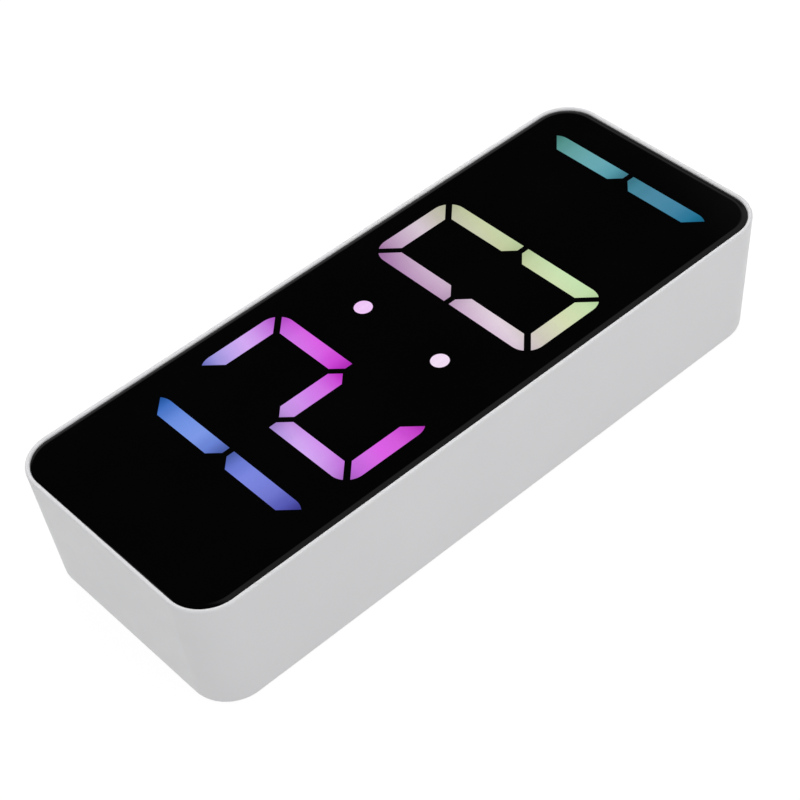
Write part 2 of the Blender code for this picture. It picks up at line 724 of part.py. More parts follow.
def led_places():
    """The two LEDs behind each stroke, along it, and the one behind each dot."""
    half_x = (DIGIT_WIDTH - STROKE) / 2
    half_y = (DIGIT_HEIGHT - STROKE) / 2
    spread = LED_SPREAD / 2
    middles = [(x * half_x, y * half_y / 2) for x, y in CORNERS]
    local = [(x, y + side * spread) for x, y in middles for side in (-1, 1)]
    local += [(side * spread, row * half_y) for row in (-1, 0, 1) for side in (-1, 1)]
    places = [(x + across, y) for across in digit_places() for x, y in local]
    return places + [(DISPLAY_SHIFT, side * DOT_HEIGHT) for side in (-1, 1)]


def build_display_board(white_board):
    """The board behind the frame, with the LEDs on its front."""
    plate = tapered_block(BOARD_BOTTOM, BOARD_TOP, WALL + 2 * GAP)
    board = finish("display_board", plate, white_board, CLOCK)
    leds = bmesh.new()
    half = LED_SIZE / 2
    for x, y in led_places():
        add_box(leds, (x - half, y - half, BOARD_TOP - ROOT), (x + half, y + half, BOARD_TOP + LED_HEIGHT))
    join(board, "leds", leds)
    hole = CASE_SCREW_RADIUS + GAP
    holes = cylinders(hole, post_places(), BOARD_BOTTOM - OVERRUN, BOARD_TOP + OVERRUN)
    cut(board, "display_board_holes", holes)


def cross_outline(radius):
    """The plus shape of a screw's drive."""
    arm, half = radius * CROSS_LENGTH_SHARE, radius * CROSS_WIDTH_SHARE / 2
    quarter = [(arm, -half), (arm, half), (half, half)]
    outline = []
    for _ in range(4):
        outline += quarter
        quarter = [(-y, x) for x, y in quarter]
    return outline


def build_screw(name, sizes, steel, place, faces, parent=None):
    """A screw with its head's outer face at the object's origin. faces is 1 where the head faces up."""
    shank, head, head_height, length = sizes
    edge = head_height / 4
    outer = [(0, 0), (head - edge, 0), (head, -edge), (head, -head_height), (shank, -head_height)]
    tip = -head_height - length
    profile = outer + [(shank, tip + shank / 2), (shank / 2, tip), (0, tip)]
    if faces < 0:
        profile = [(radius, -level) for radius, level in reversed(profile)]
    screw = turned(name, profile, steel, place, parent, SCREW_STEPS)
    depth = head_height * CROSS_DEPTH_SHARE
    low, high = (-depth, OVERRUN) if faces > 0 else (-OVERRUN, depth)
    drive = cutter(name + "_drive", outline_solid([cross_outline(head)], low, high))
    drive.parent = screw
    combine(screw, "DIFFERENCE", drive)


def build_screws(steel):
    sizes = (CASE_SCREW_RADIUS, CASE_HEAD_RADIUS, CASE_HEAD_HEIGHT, CASE_SCREW_LENGTH)
    for k, (x, y) in enumerate(post_places()):
        place = (x, y, CASE_HEAD_TOP - CASE_HEAD_HEIGHT)
        build_screw(f"case_screw_{k + 1}", sizes, steel, place, -1)
    sizes = (SMALL_SCREW_RADIUS, SMALL_HEAD_RADIUS, SMALL_HEAD_HEIGHT, SMALL_SCREW_LENGTH)
    for k, (x, y) in enumerate(main_screw_places()):
        place = (x, y, MAIN_BOARD_TOP + GAP + SMALL_HEAD_HEIGHT)
        build_screw(f"main_board_screw_{k + 1}", sizes, steel, place, 1)


def build_main_board(green):
    low, high = (MAIN_LEFT, MAIN_LOW, MAIN_BOARD_BOTTOM), (MAIN_RIGHT, MAIN_HIGH, MAIN_BOARD_TOP)
    board = finish("main_board", box(low, high), green, CLOCK)
    hole = SMALL_SCREW_RADIUS + GAP
    low, high = MAIN_BOARD_BOTTOM - OVERRUN, MAIN_BOARD_TOP + OVERRUN
    cut(board, "main_board_holes", cylinders(hole, main_screw_places(), low, high))


def build_chip(black):
    low = MAIN_BOARD_TOP + GAP
    half = CHIP_SIZE / 2
    corner = (MAIN_MIDDLE + half, CHIP_Y + half, low + CHIP_HEIGHT)
    chip = box((MAIN_MIDDLE - half, CHIP_Y - half, low), corner)
    bevel(chip, level_edges(chip, low + CHIP_HEIGHT), CHIP_EDGE, 1)
    finish("controller_chip", chip, black, CLOCK)


def build_crystal(steel):
    """A small can lying on the board beside the chip."""
    x = MAIN_MIDDLE - CHIP_SIZE / 2 - CRYSTAL_SPACE - CRYSTAL_LENGTH / 2
    can = bmesh.new()
    turn = Matrix.Rotation(math.pi / 2, 4, "Y")
    lift = MAIN_BOARD_TOP + GAP + CRYSTAL_RADIUS
    bmesh.ops.create_cone(
        can,
        cap_ends=True,
        segments=ROUND_STEPS // 2,
        radius1=CRYSTAL_RADIUS,
        radius2=CRYSTAL_RADIUS,
        depth=CRYSTAL_LENGTH,
        matrix=Matrix.Translation((x, CHIP_Y, lift)) @ turn,
    )
    shade(finish("clock_crystal", can, steel, CLOCK))


def build_capacitor(black):
    r, edge, top = CAPACITOR_RADIUS, CAPACITOR_EDGE, CAPACITOR_HEIGHT
    profile = [(0, top), (r - edge, top), (r, top - edge), (r, 0), (0, 0)]
    turned("capacitor", profile, black, (*CAPACITOR_PLACE, MAIN_BOARD_TOP + GAP))


def build_header(black):
    """The strip whose pins carry the display board's signals."""
    low, high = MAIN_BOARD_TOP + GAP, BOARD_BOTTOM - GAP
    strip_top = high - HEADER_PIN_OUT
    half_x, half_y = HEADER_WIDTH / 2, HEADER_THICKNESS / 2
    corner = (MAIN_MIDDLE + half_x, HEADER_Y + half_y, strip_top)
    strip = box((MAIN_MIDDLE - half_x, HEADER_Y - half_y, low), corner)
    header = finish("board_header", strip, black, CLOCK)
    pins = bmesh.new()
    half = HEADER_PIN / 2
    for k in range(HEADER_PIN_COUNT):
        x = MAIN_MIDDLE + (k - (HEADER_PIN_COUNT - 1) / 2) * HEADER_PIN_PITCH
        add_box(pins, (x - half, HEADER_Y - half, strip_top - ROOT), (x + half, HEADER_Y + half, high))
    join(header, "header_pins", pins)


def build_buzzer(black):
    """It hangs from the main board and faces the sound holes."""
    r = BUZZER_RADIUS
    low = -BUZZER_HEIGHT
    hole, depth = BUZZER_HOLE_RADIUS, BUZZER_HOLE_DEPTH
    profile = [(0, 0), (r, 0), (r, low), (hole, low), (hole, low + depth), (0, low + depth)]
    turned("buzzer", profile, black, (*BUZZER_PLACE, MAIN_BOARD_BOTTOM - GAP))


def build_power_socket(steel):
    """A flat metal sleeve with a tongue, open at the back."""
    top = MAIN_BOARD_BOTTOM - GAP
    sleeve = stadium(SOCKET_WIDTH, SOCKET_THICKNESS, SOCKET_PLACE, SOCKET_RECESS, top)
    socket = finish("power_socket", sleeve, steel, CLOCK)
    inner = (SOCKET_WIDTH - 2 * SOCKET_WALL, SOCKET_THICKNESS - 2 * SOCKET_WALL)
    cavity_top = SOCKET_RECESS + SOCKET_CAVITY
    cut(socket, "socket_cavity", stadium(*inner, SOCKET_PLACE, SOCKET_RECESS - OVERRUN, cavity_top))
    x, y = SOCKET_PLACE
    half_x, half_y = SOCKET_TONGUE_WIDTH / 2, SOCKET_TONGUE_THICKNESS / 2
    low = (x - half_x, y - half_y, SOCKET_RECESS + SOCKET_TONGUE_RECESS)
    join(socket, "socket_tongue", box(low, (x + half_x, y + half_y, cavity_top + ROOT)))


def build_buttons(white, black, steel):
    """Each button with its plunger and its switch. A button's origin is on the axis it slides along."""
    for k, (x, y) in enumerate(button_places()):
        number = k + 1
        base = FLANGE_BOTTOM
        r, edge = BUTTON_RADIUS, BUTTON_EDGE
        flange, pin, pin_top = BUTTON_FLANGE_RADIUS, BUTTON_PIN_RADIUS, PIN_TOP - base
        cap = BUTTON_RECESS - base
        profile = [(0, pin_top), (pin, pin_top), (pin, BUTTON_FLANGE), (flange, BUTTON_FLANGE)]
        profile += [(flange, 0), (r, 0), (r, cap + edge), (r - edge, cap), (0, cap)]
        button = turned(f"button_{number}", profile, white, (x, y, base))
        profile = [(0, PLUNGER_OUT + PLUNGER_IN), (PLUNGER_RADIUS, PLUNGER_OUT + PLUNGER_IN)]
        profile += [(PLUNGER_RADIUS, 0), (0, 0)]
        turned(f"switch_plunger_{number}", profile, black, (0, 0, PLUNGER_BOTTOM - base), parent=button)
        half = SWITCH_SIZE / 2
        body = box((x - half, y - half, SWITCH_BOTTOM), (x + half, y + half, SWITCH_TOP))
        switch = finish(f"switch_body_{number}", body, steel, CLOCK)
        bore_top = SWITCH_BOTTOM + PLUNGER_IN + BUTTON_TRAVEL + GAP
        bore = cylinders(PLUNGER_RADIUS + GAP, [(x, y)], SWITCH_BOTTOM - OVERRUN, bore_top)
        cut(switch, f"switch_bore_{number}", bore)


def build_cells(wrapper):
    """Three cells lying along X, the middle one turned end for end."""
    body = CELL_LENGTH - CELL_NUB
    r, edge, nub = CELL_RADIUS, CELL_EDGE, CELL_NUB_RADIUS
    profile = [(0, CELL_LENGTH), (nub, CELL_LENGTH), (nub, body), (r - edge, body), (r, body - edge)]
    profile += [(r, edge), (r - edge, 0), (0, 0)]
    for k, across in enumerate(cell_places()):
        side = -1 if k % 2 == 0 else 1
        nub_end = BAY_LEFT + CONTACT_STACK if side < 0 else BAY_RIGHT - CONTACT_STACK
        place = (nub_end - side * CELL_LENGTH, across, CELL_MIDDLE)
        cell = turned(f"battery_cell_{k + 1}", profile, wrapper, place)
        cell.rotation_euler = (0, side * math.pi / 2, 0)


def build_springs(steel):
    """A coil between each cell's flat end and its contact."""
    length = SPRING_LENGTH - 2 * SPRING_WIRE
    count = round(SPRING_TURNS * SPRING_TURN_POINTS)
    for k, across in enumerate(cell_places()):
        side = 1 if k % 2 == 0 else -1
        end = BAY_RIGHT if side > 0 else BAY_LEFT
        start = end - side * (CONTACT_STACK + SPRING_WIRE)
        points = []
        for step in range(count + 1):
            turn = 2 * math.pi * step / SPRING_TURN_POINTS
            x = start - side * length * step / count
            y = across + SPRING_RADIUS * math.cos(turn)
            points.append((x, y, CELL_MIDDLE + SPRING_RADIUS * math.sin(turn)))
        shade(finish(f"cell_spring_{k + 1}", wire_solid(points, SPRING_WIRE), steel, CLOCK))


def build_contact(name, side, first, last, steel, with_tail):
    """A plate at one end of the bay (side -1 left, 1 right) across the cells from first to last."""
    half = CONTACT_WIDTH / 2
    wall = BAY_LEFT if side < 0 else BAY_RIGHT
    outer, inner = wall - side * GAP, wall - side * (GAP + CONTACT_THICKNESS)
    places = cell_places()
    low = (min(outer, inner), places[last] - half, CELL_MIDDLE - half)
    high = (max(outer, inner), places[first] + half, CELL_MIDDLE + half)
    contact = finish(name, box(low, high), steel, CLOCK)
    if with_tail:
        end, across = tail_place(side)
        half_tail, thick = CONTACT_TAIL / 2, CONTACT_THICKNESS / 2
        start = (outer + inner) / 2
        low = (min(end, start), across - half_tail, CELL_MIDDLE - thick)
        high = (max(end, start), across + half_tail, CELL_MIDDLE + thick)
        join(contact, name + "_tail", box(low, high))


def build_contacts(steel):
    build_contact("contact_plus", -1, 0, 0, steel, True)
    build_contact("contact_bridge_left", -1, 1, 2, steel, False)
    build_contact("contact_bridge_right", 1, 0, 1, steel, False)
    build_contact("contact_minus", 1, 2, 2, steel, True)


def build_battery_door(white, steel):
    """The flush door, with grip grooves and a screw at its other end."""
    low = (DOOR_LEFT, -DOOR_WIDTH / 2, DOOR_RECESS)
    high = (DOOR_RIGHT, DOOR_WIDTH / 2, DOOR_RECESS + DOOR_THICKNESS)
    plate = rounded_block(low, high, DOOR_CORNER - GAP, SMALL_ARC_STEPS)
    bevel(plate, level_edges(plate, DOOR_RECESS), DOOR_EDGE, 1)
    door = finish("battery_door", plate, white, CLOCK)
    grooves = bmesh.new()
    for k in range(DOOR_GRIP_COUNT):
        x = DOOR_LEFT + DOOR_GRIP_INSET + k * DOOR_GRIP_PITCH
        half = DOOR_GRIP_LENGTH / 2
        groove_high = (x + DOOR_GRIP_WIDTH, half, DOOR_RECESS + DOOR_GRIP_DEPTH)
        add_box(grooves, (x, -half, DOOR_RECESS - OVERRUN), groove_high)
    cut(door, "door_grip", grooves)
    hole = SMALL_SCREW_RADIUS + GAP
    low, high = DOOR_RECESS - OVERRUN, DOOR_RECESS + DOOR_THICKNESS + OVERRUN
    cut(door, "door_hole", cylinders(hole, [(DOOR_SCREW_X, 0)], low, high))
    well = cylinders(SMALL_HEAD_RADIUS + GAP, [(DOOR_SCREW_X, 0)], low, DOOR_RECESS + DOOR_THICKNESS / 2)
    cut(door, "door_head_well", well)
    head = DOOR_THICKNESS / 2 - GAP
    sizes = (SMALL_SCREW_RADIUS, SMALL_HEAD_RADIUS, head, SMALL_SCREW_LENGTH)
    build_screw("battery_door_screw", sizes, steel, (DOOR_SCREW_X, 0, DOOR_RECESS), -1, door)


def build_lead(name, points, colour):
    shade(finish(name, wire_solid(smooth_path(points), LEAD_RADIUS), colour, CLOCK))


def smooth_path(points):
    """Points on a smooth curve through the route's own points."""
    route = [Vector(point) for point in points]
    ends = [2 * route[0] - route[1]] + route + [2 * route[-1] - route[-2]]
    path = []
    for a, b, c, d in zip(ends, ends[1:], ends[2:], ends[3:]):
        steps = max(2, round((c - b).length / (5 * LEAD_RADIUS)))
        for step in range(steps):
            t = step / steps
            bend = (2 * a - 5 * b + 4 * c - d) * t * t + (3 * b - a - 3 * c + d) * t**3
            path.append((2 * b + (c - a) * t + bend) / 2)
    return path + [route[-1]]


def build_leads(red, black):
    """The leads from the end contacts to the main board: one short, one round the bay."""
    pad_x = MAIN_RIGHT - LEAD_PAD_INSET
    pad_z = MAIN_BOARD_TOP + GAP
    over = pad_z + LEAD_RISE
    bend = LEAD_REACH
    start, across = tail_place(-1)
    start -= GAP
    edge = MAIN_RIGHT + 2 * LEAD_RADIUS
    points = [
        (start, across, CELL_MIDDLE),
        (start - bend / 2, across, CELL_MIDDLE),
        (edge + bend / 2, across, MAIN_BOARD_TOP),
        (edge - bend / 2, across, over),
        (pad_x, across, pad_z + LEAD_RISE / 2),
        (pad_x, across, pad_z),
    ]
    build_lead("battery_lead_plus", points, red)
    start, across = tail_place(1)
    start += GAP
    side = -BAY_WIDTH / 2 - BAY_WALL - LEAD_CHANNEL
    turn = start + 2 * bend
    points = [
        (start, across, CELL_MIDDLE),
        (start + bend, across, CELL_MIDDLE),
        (turn, across - bend, CELL_MIDDLE + bend / 2),
        (turn, side + 3 * bend / 2, over - bend / 2),
        (turn - bend, side + bend / 4, over),
        (turn - 3 * bend, side, over),
        (BAY_RIGHT - BAY_LENGTH / 2, side, over),
        (BAY_LEFT, side, over),
        (edge + bend, across - bend, over),
        (edge - bend / 2, across, over),
        (pad_x, across, pad_z + LEAD_RISE / 2),
        (pad_x, across, pad_z),
    ]
    build_lead("battery_lead_minus", points, black)


def build_clock():
    white = material("white_plastic", (0.80, 0.80, 0.81), 0.40)
    gloss_black = material("gloss_black", (0.004, 0.004, 0.005), 0.06)
    black = material("black_plastic", (0.02, 0.02, 0.02), 0.50)
    white_board = material("white_board", (0.75, 0.76, 0.72), 0.45)
    green = material("green_board", (0.02, 0.16, 0.06), 0.40)
    steel = material("plated_steel", (0.62, 0.62, 0.60), 0.28, metallic=1.0)
    wrapper = material("cell_wrapper", (0.10, 0.16, 0.30), 0.30)
    red = material("red_insulation", (0.55, 0.02, 0.02), 0.45)
    build_housing(white)
    build_front_panel(gloss_black)
    build_diffusers()
    build_segment_frame(black)
    build_display_board(white_board)
    build_screws(steel)
    build_main_board(green)
    build_chip(black)
    build_crystal(steel)
    build_capacitor(black)
    build_header(black)
    build_buzzer(black)
    build_power_socket(steel)
    build_buttons(white, black, steel)
    build_cells(wrapper)
    build_springs(steel)
    build_contacts(steel)
    build_battery_door(white, steel)
    build_leads(red, black)


clear_scene()
CLOCK = new_collection("led_clock")
CUTTERS = new_collection("cutters")
build_clock()
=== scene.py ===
import functools
import json
import math
from typing import NamedTuple

import bmesh
import bpy
from bpy.props import FloatProperty, FloatVectorProperty, PointerProperty
from mathutils import Matrix, Vector


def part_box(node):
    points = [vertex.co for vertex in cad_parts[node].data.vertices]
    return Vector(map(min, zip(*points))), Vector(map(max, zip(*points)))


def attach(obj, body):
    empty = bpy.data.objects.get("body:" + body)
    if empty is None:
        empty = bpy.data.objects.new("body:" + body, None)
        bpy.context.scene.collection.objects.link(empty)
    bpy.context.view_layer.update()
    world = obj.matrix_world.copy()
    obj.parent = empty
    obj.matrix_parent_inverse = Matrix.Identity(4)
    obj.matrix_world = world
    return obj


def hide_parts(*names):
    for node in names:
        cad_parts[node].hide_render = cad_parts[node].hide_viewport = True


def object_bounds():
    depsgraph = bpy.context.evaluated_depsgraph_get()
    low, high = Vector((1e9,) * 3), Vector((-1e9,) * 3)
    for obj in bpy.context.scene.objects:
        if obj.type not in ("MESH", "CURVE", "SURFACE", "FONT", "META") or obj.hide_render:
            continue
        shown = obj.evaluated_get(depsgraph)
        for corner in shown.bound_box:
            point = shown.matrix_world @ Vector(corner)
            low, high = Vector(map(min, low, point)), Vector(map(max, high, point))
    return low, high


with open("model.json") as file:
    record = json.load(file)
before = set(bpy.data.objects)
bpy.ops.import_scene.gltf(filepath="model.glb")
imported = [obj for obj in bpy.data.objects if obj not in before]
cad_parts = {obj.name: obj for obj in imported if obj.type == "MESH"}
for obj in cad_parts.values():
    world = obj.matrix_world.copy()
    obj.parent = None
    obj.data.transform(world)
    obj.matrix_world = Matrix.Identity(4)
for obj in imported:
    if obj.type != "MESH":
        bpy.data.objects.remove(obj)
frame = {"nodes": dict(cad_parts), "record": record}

CAD_LOW, CAD_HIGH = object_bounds()

bl_info = {
    "name": "Desk Clock with Lit Digits",
    "version": (1, 0, 0),
    "blender": (4, 5, 0),
    "location": "3D View > Sidebar > Clock",
    "description": "Dresses the packed desk clock with fine surfaces, lit digits and a studio",
    "category": "Object",
}

# Lengths are in metres
GAP = 0.0003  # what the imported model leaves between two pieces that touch
OVERRUN = 0.0010  # how far a cut runs past the face that it opens
ROOT = 0.0006  # how far a post or a wall reaches into what it grows from
TINY = 0.00001  # levels closer than this are the same
WINDOW_GAP = 0.00005  # between a lit stroke and its window in the panel
PLATE_MARGIN = 0.0012  # from a digit's strokes to the edge of its diffuser's plate
CORNER_STEPS = 20
FILLET_STEPS = 8
EDGE_STEPS = 3
FINE_EDGE_STEPS = 2
ROUND_STEPS = 48
SHARP_ANGLE = math.radians(35)
FOUR = (1, 2, 3, 4)
LIT_SEGMENTS = ("bc", "abdeg", "abcdef", "bc")  # the strokes that show in each digit
ALL_SEGMENTS = "abcdefg"
UPRIGHT_SEGMENTS = "bcef"


def user_value(kind, name, description, default, **limits):
    return kind(name=name, description=description, default=default, **limits)


length = functools.partial(user_value, FloatProperty, min=0.0, unit="LENGTH", precision=5)
colour = functools.partial(user_value, FloatVectorProperty, size=3, min=0.0, max=1.0, subtype="COLOR")
share = functools.partial(user_value, FloatProperty, min=0.0, max=1.0)
power = functools.partial(user_value, FloatProperty, unit="POWER")


class ClockSizes(bpy.types.PropertyGroup):
    """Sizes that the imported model's boxes don't give."""

    corner_radius: length("Corner radius", "Of the housing's upright corners, at the front", 0.0094)
    end_draft: length("End draft", "What each end leans in from front to back", 0.00185)
    side_draft: length("Side draft", "What each long side leans in from front to back", 0.00117)
    back_fillet: length("Back fillet", "Rounding between the sides and the back", 0.0015)
    rim: length("Rim", "Width of the lip round the panel", 0.00104)
    rim_outer_edge: length("Rim outer edge", "Rounding of the lip's outer edge", 0.00045)
    rim_inner_edge: length("Rim inner edge", "Rounding of the lip's inner edge", 0.00055)
    wall: length("Wall", "Thickness of the housing's sides and back", 0.0022)
    opening_edge: length("Opening edge", "Rounding of the openings in the back", 0.00015)
    panel_gap: length("Panel gap", "Gap round the front panel", 0.00010)
    panel_edge_width: length("Panel edge width", "How far in the panel's edge starts to fall", 0.0015)
    panel_edge_depth: length("Panel edge depth", "How far the panel's edge falls", 0.00024)
    stroke: length("Stroke", "Width of a digit's stroke", 0.0045)
    stroke_gap: length("Stroke gap", "Gap between two strokes", 0.00135)
    stroke_end: length("Stroke end", "Square part of an upright stroke's end at mid height", 0.0020)
    stroke_edge: length("Stroke edge", "Rounding of a lit stroke's edge", 0.00014)
    dot_radius: length("Dot radius", "Of the colon's dots", 0.00209)
    dot_inset: length("Dot inset", "From the colon's end to the middle of a dot", 0.0034)


class ClockColours(bpy.types.PropertyGroup):
    """Colours of the finishes."""

    white: colour("White plastic", "Housing, door and buttons", (0.80, 0.80, 0.815))
    panel: colour("Panel", "Glossy front panel", (0.0010, 0.0010, 0.0012))
    black: colour("Black plastic", "Frame, buzzer and small mouldings", (0.018, 0.018, 0.020))
    opal: colour("Opal plastic", "Diffusers, where no lamp lights them", (0.0015, 0.0015, 0.0018))
    board: colour("Board", "Main circuit board", (0.015, 0.12, 0.05))
    board_white: colour("White board", "Board behind the digits", (0.72, 0.74, 0.70))
    tin: colour("Tin", "Solder dots on the boards", (0.62, 0.62, 0.58))
    steel: colour("Plated steel", "Screws, springs and contacts", (0.62, 0.62, 0.60))
    wrapper: colour("Cell wrapper", "Sleeve of each cell", (0.05, 0.10, 0.24))
    band: colour("Cell band", "Bright band of each cell", (0.62, 0.64, 0.66))
    line: colour("Cell line", "Thin line beside the band", (0.75, 0.75, 0.74))
    lead_plus: colour("Plus lead", "Insulation of the plus lead", (0.42, 0.012, 0.010))
    lead_minus: colour("Minus lead", "Insulation of the minus lead", (0.015, 0.015, 0.016))


class ClockStudio(bpy.types.PropertyGroup):
    """Light, floor and camera."""

    ambient: share("Ambient", "Strength of the light from all round", 0.575, max=4.0)
    bounce: share("Bounce", "Strength of the light from the floor", 0.65, max=4.0)
    slant: share("Slant", "How much brighter the light is from the near left than from the far right", 0.43)
    softbox: power("Softbox", "Of the lamp above the near side", 1.8)
    rear: power("Rear lamp", "Of the lamp above the far side", 5.5)
    near_sheen: power("Near sheen", "Of the long edges", 5.5)
    left_sheen: power("Left sheen", "Of the ends' edges", 1.0)
    lens: user_value(FloatProperty, "Lens", "Focal length", 96.367, unit="CAMERA")


# Mesh helpers


def add_block(bm, low, high):
    low, high = Vector(low), Vector(high)
    matrix = Matrix.Translation((low + high) / 2) @ Matrix.Diagonal((*(high - low), 1.0))
    bmesh.ops.create_cube(bm, size=1.0, matrix=matrix)


def round_edges(bm, edges, radius, steps=FINE_EDGE_STEPS):
    bmesh.ops.bevel(
        bm, geom=list(edges), offset=radius, segments=steps, profile=0.5, affect="EDGES", material=-1
    )


def level_edges(bm, level):
    return [e for e in bm.edges if all(abs(v.co.z - level) < TINY for v in e.verts)]


def sharp_edges(edges):
    return [e for e in edges if len(e.link_faces) == 2 and e.calc_face_angle() > SHARP_ANGLE]


def rounded_block(low, high, radius, steps=CORNER_STEPS):
    """A block with its upright edges rounded."""
    bm = bmesh.new()
    add_block(bm, low, high)
    upright = [e for e in bm.edges if abs(e.verts[0].co.z - e.verts[1].co.z) > GAP]
    round_edges(bm, upright, radius, steps)
    return bm


def grown_box(box, margin):
    """A box's two corners in plan, moved outwards by a margin."""
    low, high = box
    return (low.x - margin, low.y - margin), (high.x + margin, high.y + margin)


def grown_block(box, margin, bottom, top, radius):
    """A rounded block that stands a margin out from a box all round, between two levels."""
    low, high = grown_box(box, margin)
    return rounded_block((*low, bottom), (*high, top), radius, FILLET_STEPS)


def middle_of(node):
    low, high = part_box(node)
    return (low + high) / 2


def axes_of(*nodes):
    """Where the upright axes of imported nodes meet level 0."""
    return [(*middle_of(node).xy, 0) for node in nodes]


def four(kind):
    return [f"{kind}_{number}" for number in FOUR]


def face_at(bm, level):
    """The largest face that lies at a level and looks up."""
    flat = [f for f in bm.faces if f.normal.z > 0.99 and abs(f.calc_center_median().z - level) < TINY]
    return max(flat, key=lambda f: f.calc_area())


def verts_in(elements):
    return [element for element in elements if isinstance(element, bmesh.types.BMVert)]


def sink_face(bm, face, by):
    """Draws a face straight down, with walls behind it, and returns it in its new place."""
    raised = bmesh.ops.extrude_face_region(bm, geom=[face, *face.edges])["geom"]
    bmesh.ops.translate(bm, verts=verts_in(raised), vec=(0, 0, -by))
    return next(element for element in raised if isinstance(element, bmesh.types.BMFace))


def inset_face(bm, face, by, depth=0.0):
    bmesh.ops.inset_region(bm, faces=[face], thickness=by, depth=depth, use_even_offset=True)
    return face


def outline_solid(outlines, low, high):
    """Flat outlines, each a list of (x, y), given the depth from low to high."""
    bm = bmesh.new()
    for outline in outlines:
        base = bm.faces.new([bm.verts.new((x, y, low)) for x, y in outline])
        raised = bmesh.ops.extrude_face_region(bm, geom=[base], use_keep_orig=True)["geom"]
        bmesh.ops.translate(bm, verts=verts_in(raised), vec=(0, 0, high - low))
    bmesh.ops.recalc_face_normals(bm, faces=bm.faces)
    return bm


def add_turned(bm, profile, place, steps=ROUND_STEPS):
    """Turns a profile of (radius, level), which starts and ends on the axis, round an upright axis."""
    old = set(bm.verts)
    verts = [bm.verts.new((radius, 0.0, level)) for radius, level in profile]
    geom = verts + [bm.edges.new(pair) for pair in zip(verts, verts[1:])]
    turn = {"cent": (0, 0, 0), "axis": (0, 0, 1), "angle": 2 * math.pi}
    bmesh.ops.spin(bm, geom=geom, steps=steps, use_merge=True, **turn)
    made = [v for v in bm.verts if v not in old]
    bmesh.ops.remove_doubles(bm, verts=made, dist=TINY / 10)
    made = [v for v in made if v.is_valid]
    bmesh.ops.recalc_face_normals(bm, faces=list({f for v in made for f in v.link_faces}))
    bmesh.ops.translate(bm, verts=made, vec=place)


def turned(profile, places, steps=ROUND_STEPS):
    bm = bmesh.new()
    for place in places:
        add_turned(bm, profile, place, steps)
    return bm


def cylinder(radius, low, high, draft=0.0):
    """Profile of a round post or hole, thinner at its top by the draft."""
    return [(0, high), (radius - draft, high), (radius, low), (0, low)]


def stepped(shank, head, low, step, high):
    """Profile of a round hole that is wider below the step."""
    return [(0, high), (shank, high), (shank, step), (head, step), (head, low), (0, low)]


def arc(middle, radius, start, end, steps):
    turns = [start + (end - start) * k / steps for k in range(steps + 1)]
    return [(middle[0] + radius * math.cos(t), middle[1] + radius * math.sin(t)) for t in turns]


def quarter(radius, level, edge, start, end, steps=5):
    """Part of a profile: a rounded edge of a given size, whose arc has its middle at (radius, level)."""
    return arc((radius, level), edge, math.radians(start), math.radians(end), steps)


def new_object(name, bm):
    """An object in the scene from a shape, which is used up."""
    mesh = bpy.data.meshes.new(name)
    bm.to_mesh(mesh)
    bm.free()
    obj = bpy.data.objects.new(name, mesh)
    bpy.context.scene.collection.objects.link(obj)
    return obj


def combined(bm, other, operation):
    """The two shapes as one, by an exact boolean. Both are used up."""
    target, tool = new_object("scratch", bm), new_object("scratch tool", other)
    modifier = target.modifiers.new("combine", "BOOLEAN")
    modifier.operation = operation
    modifier.solver = "EXACT"
    modifier.object = tool
    result = bmesh.new()
    bpy.context.view_layer.update()
    result.from_object(target, bpy.context.evaluated_depsgraph_get())
    for obj in (target, tool):
        bpy.data.meshes.remove(obj.data)
    return result


cut = functools.partial(combined, operation="DIFFERENCE")
join = functools.partial(combined, operation="UNION")


def finish_piece(name, bm, node, slot, body="root", finish=None):
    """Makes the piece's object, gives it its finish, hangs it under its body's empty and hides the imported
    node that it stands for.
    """
    piece = new_object(name, bm)
    piece.data.materials.append(finish or slot_finish(slot))
    piece.data.shade_smooth()
    piece.data.set_sharp_from_angle(angle=SHARP_ANGLE)
    even = piece.modifiers.new("even shading", "WEIGHTED_NORMAL")
    even.keep_sharp = True
    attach(piece, body)
    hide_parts(node)


# Materials


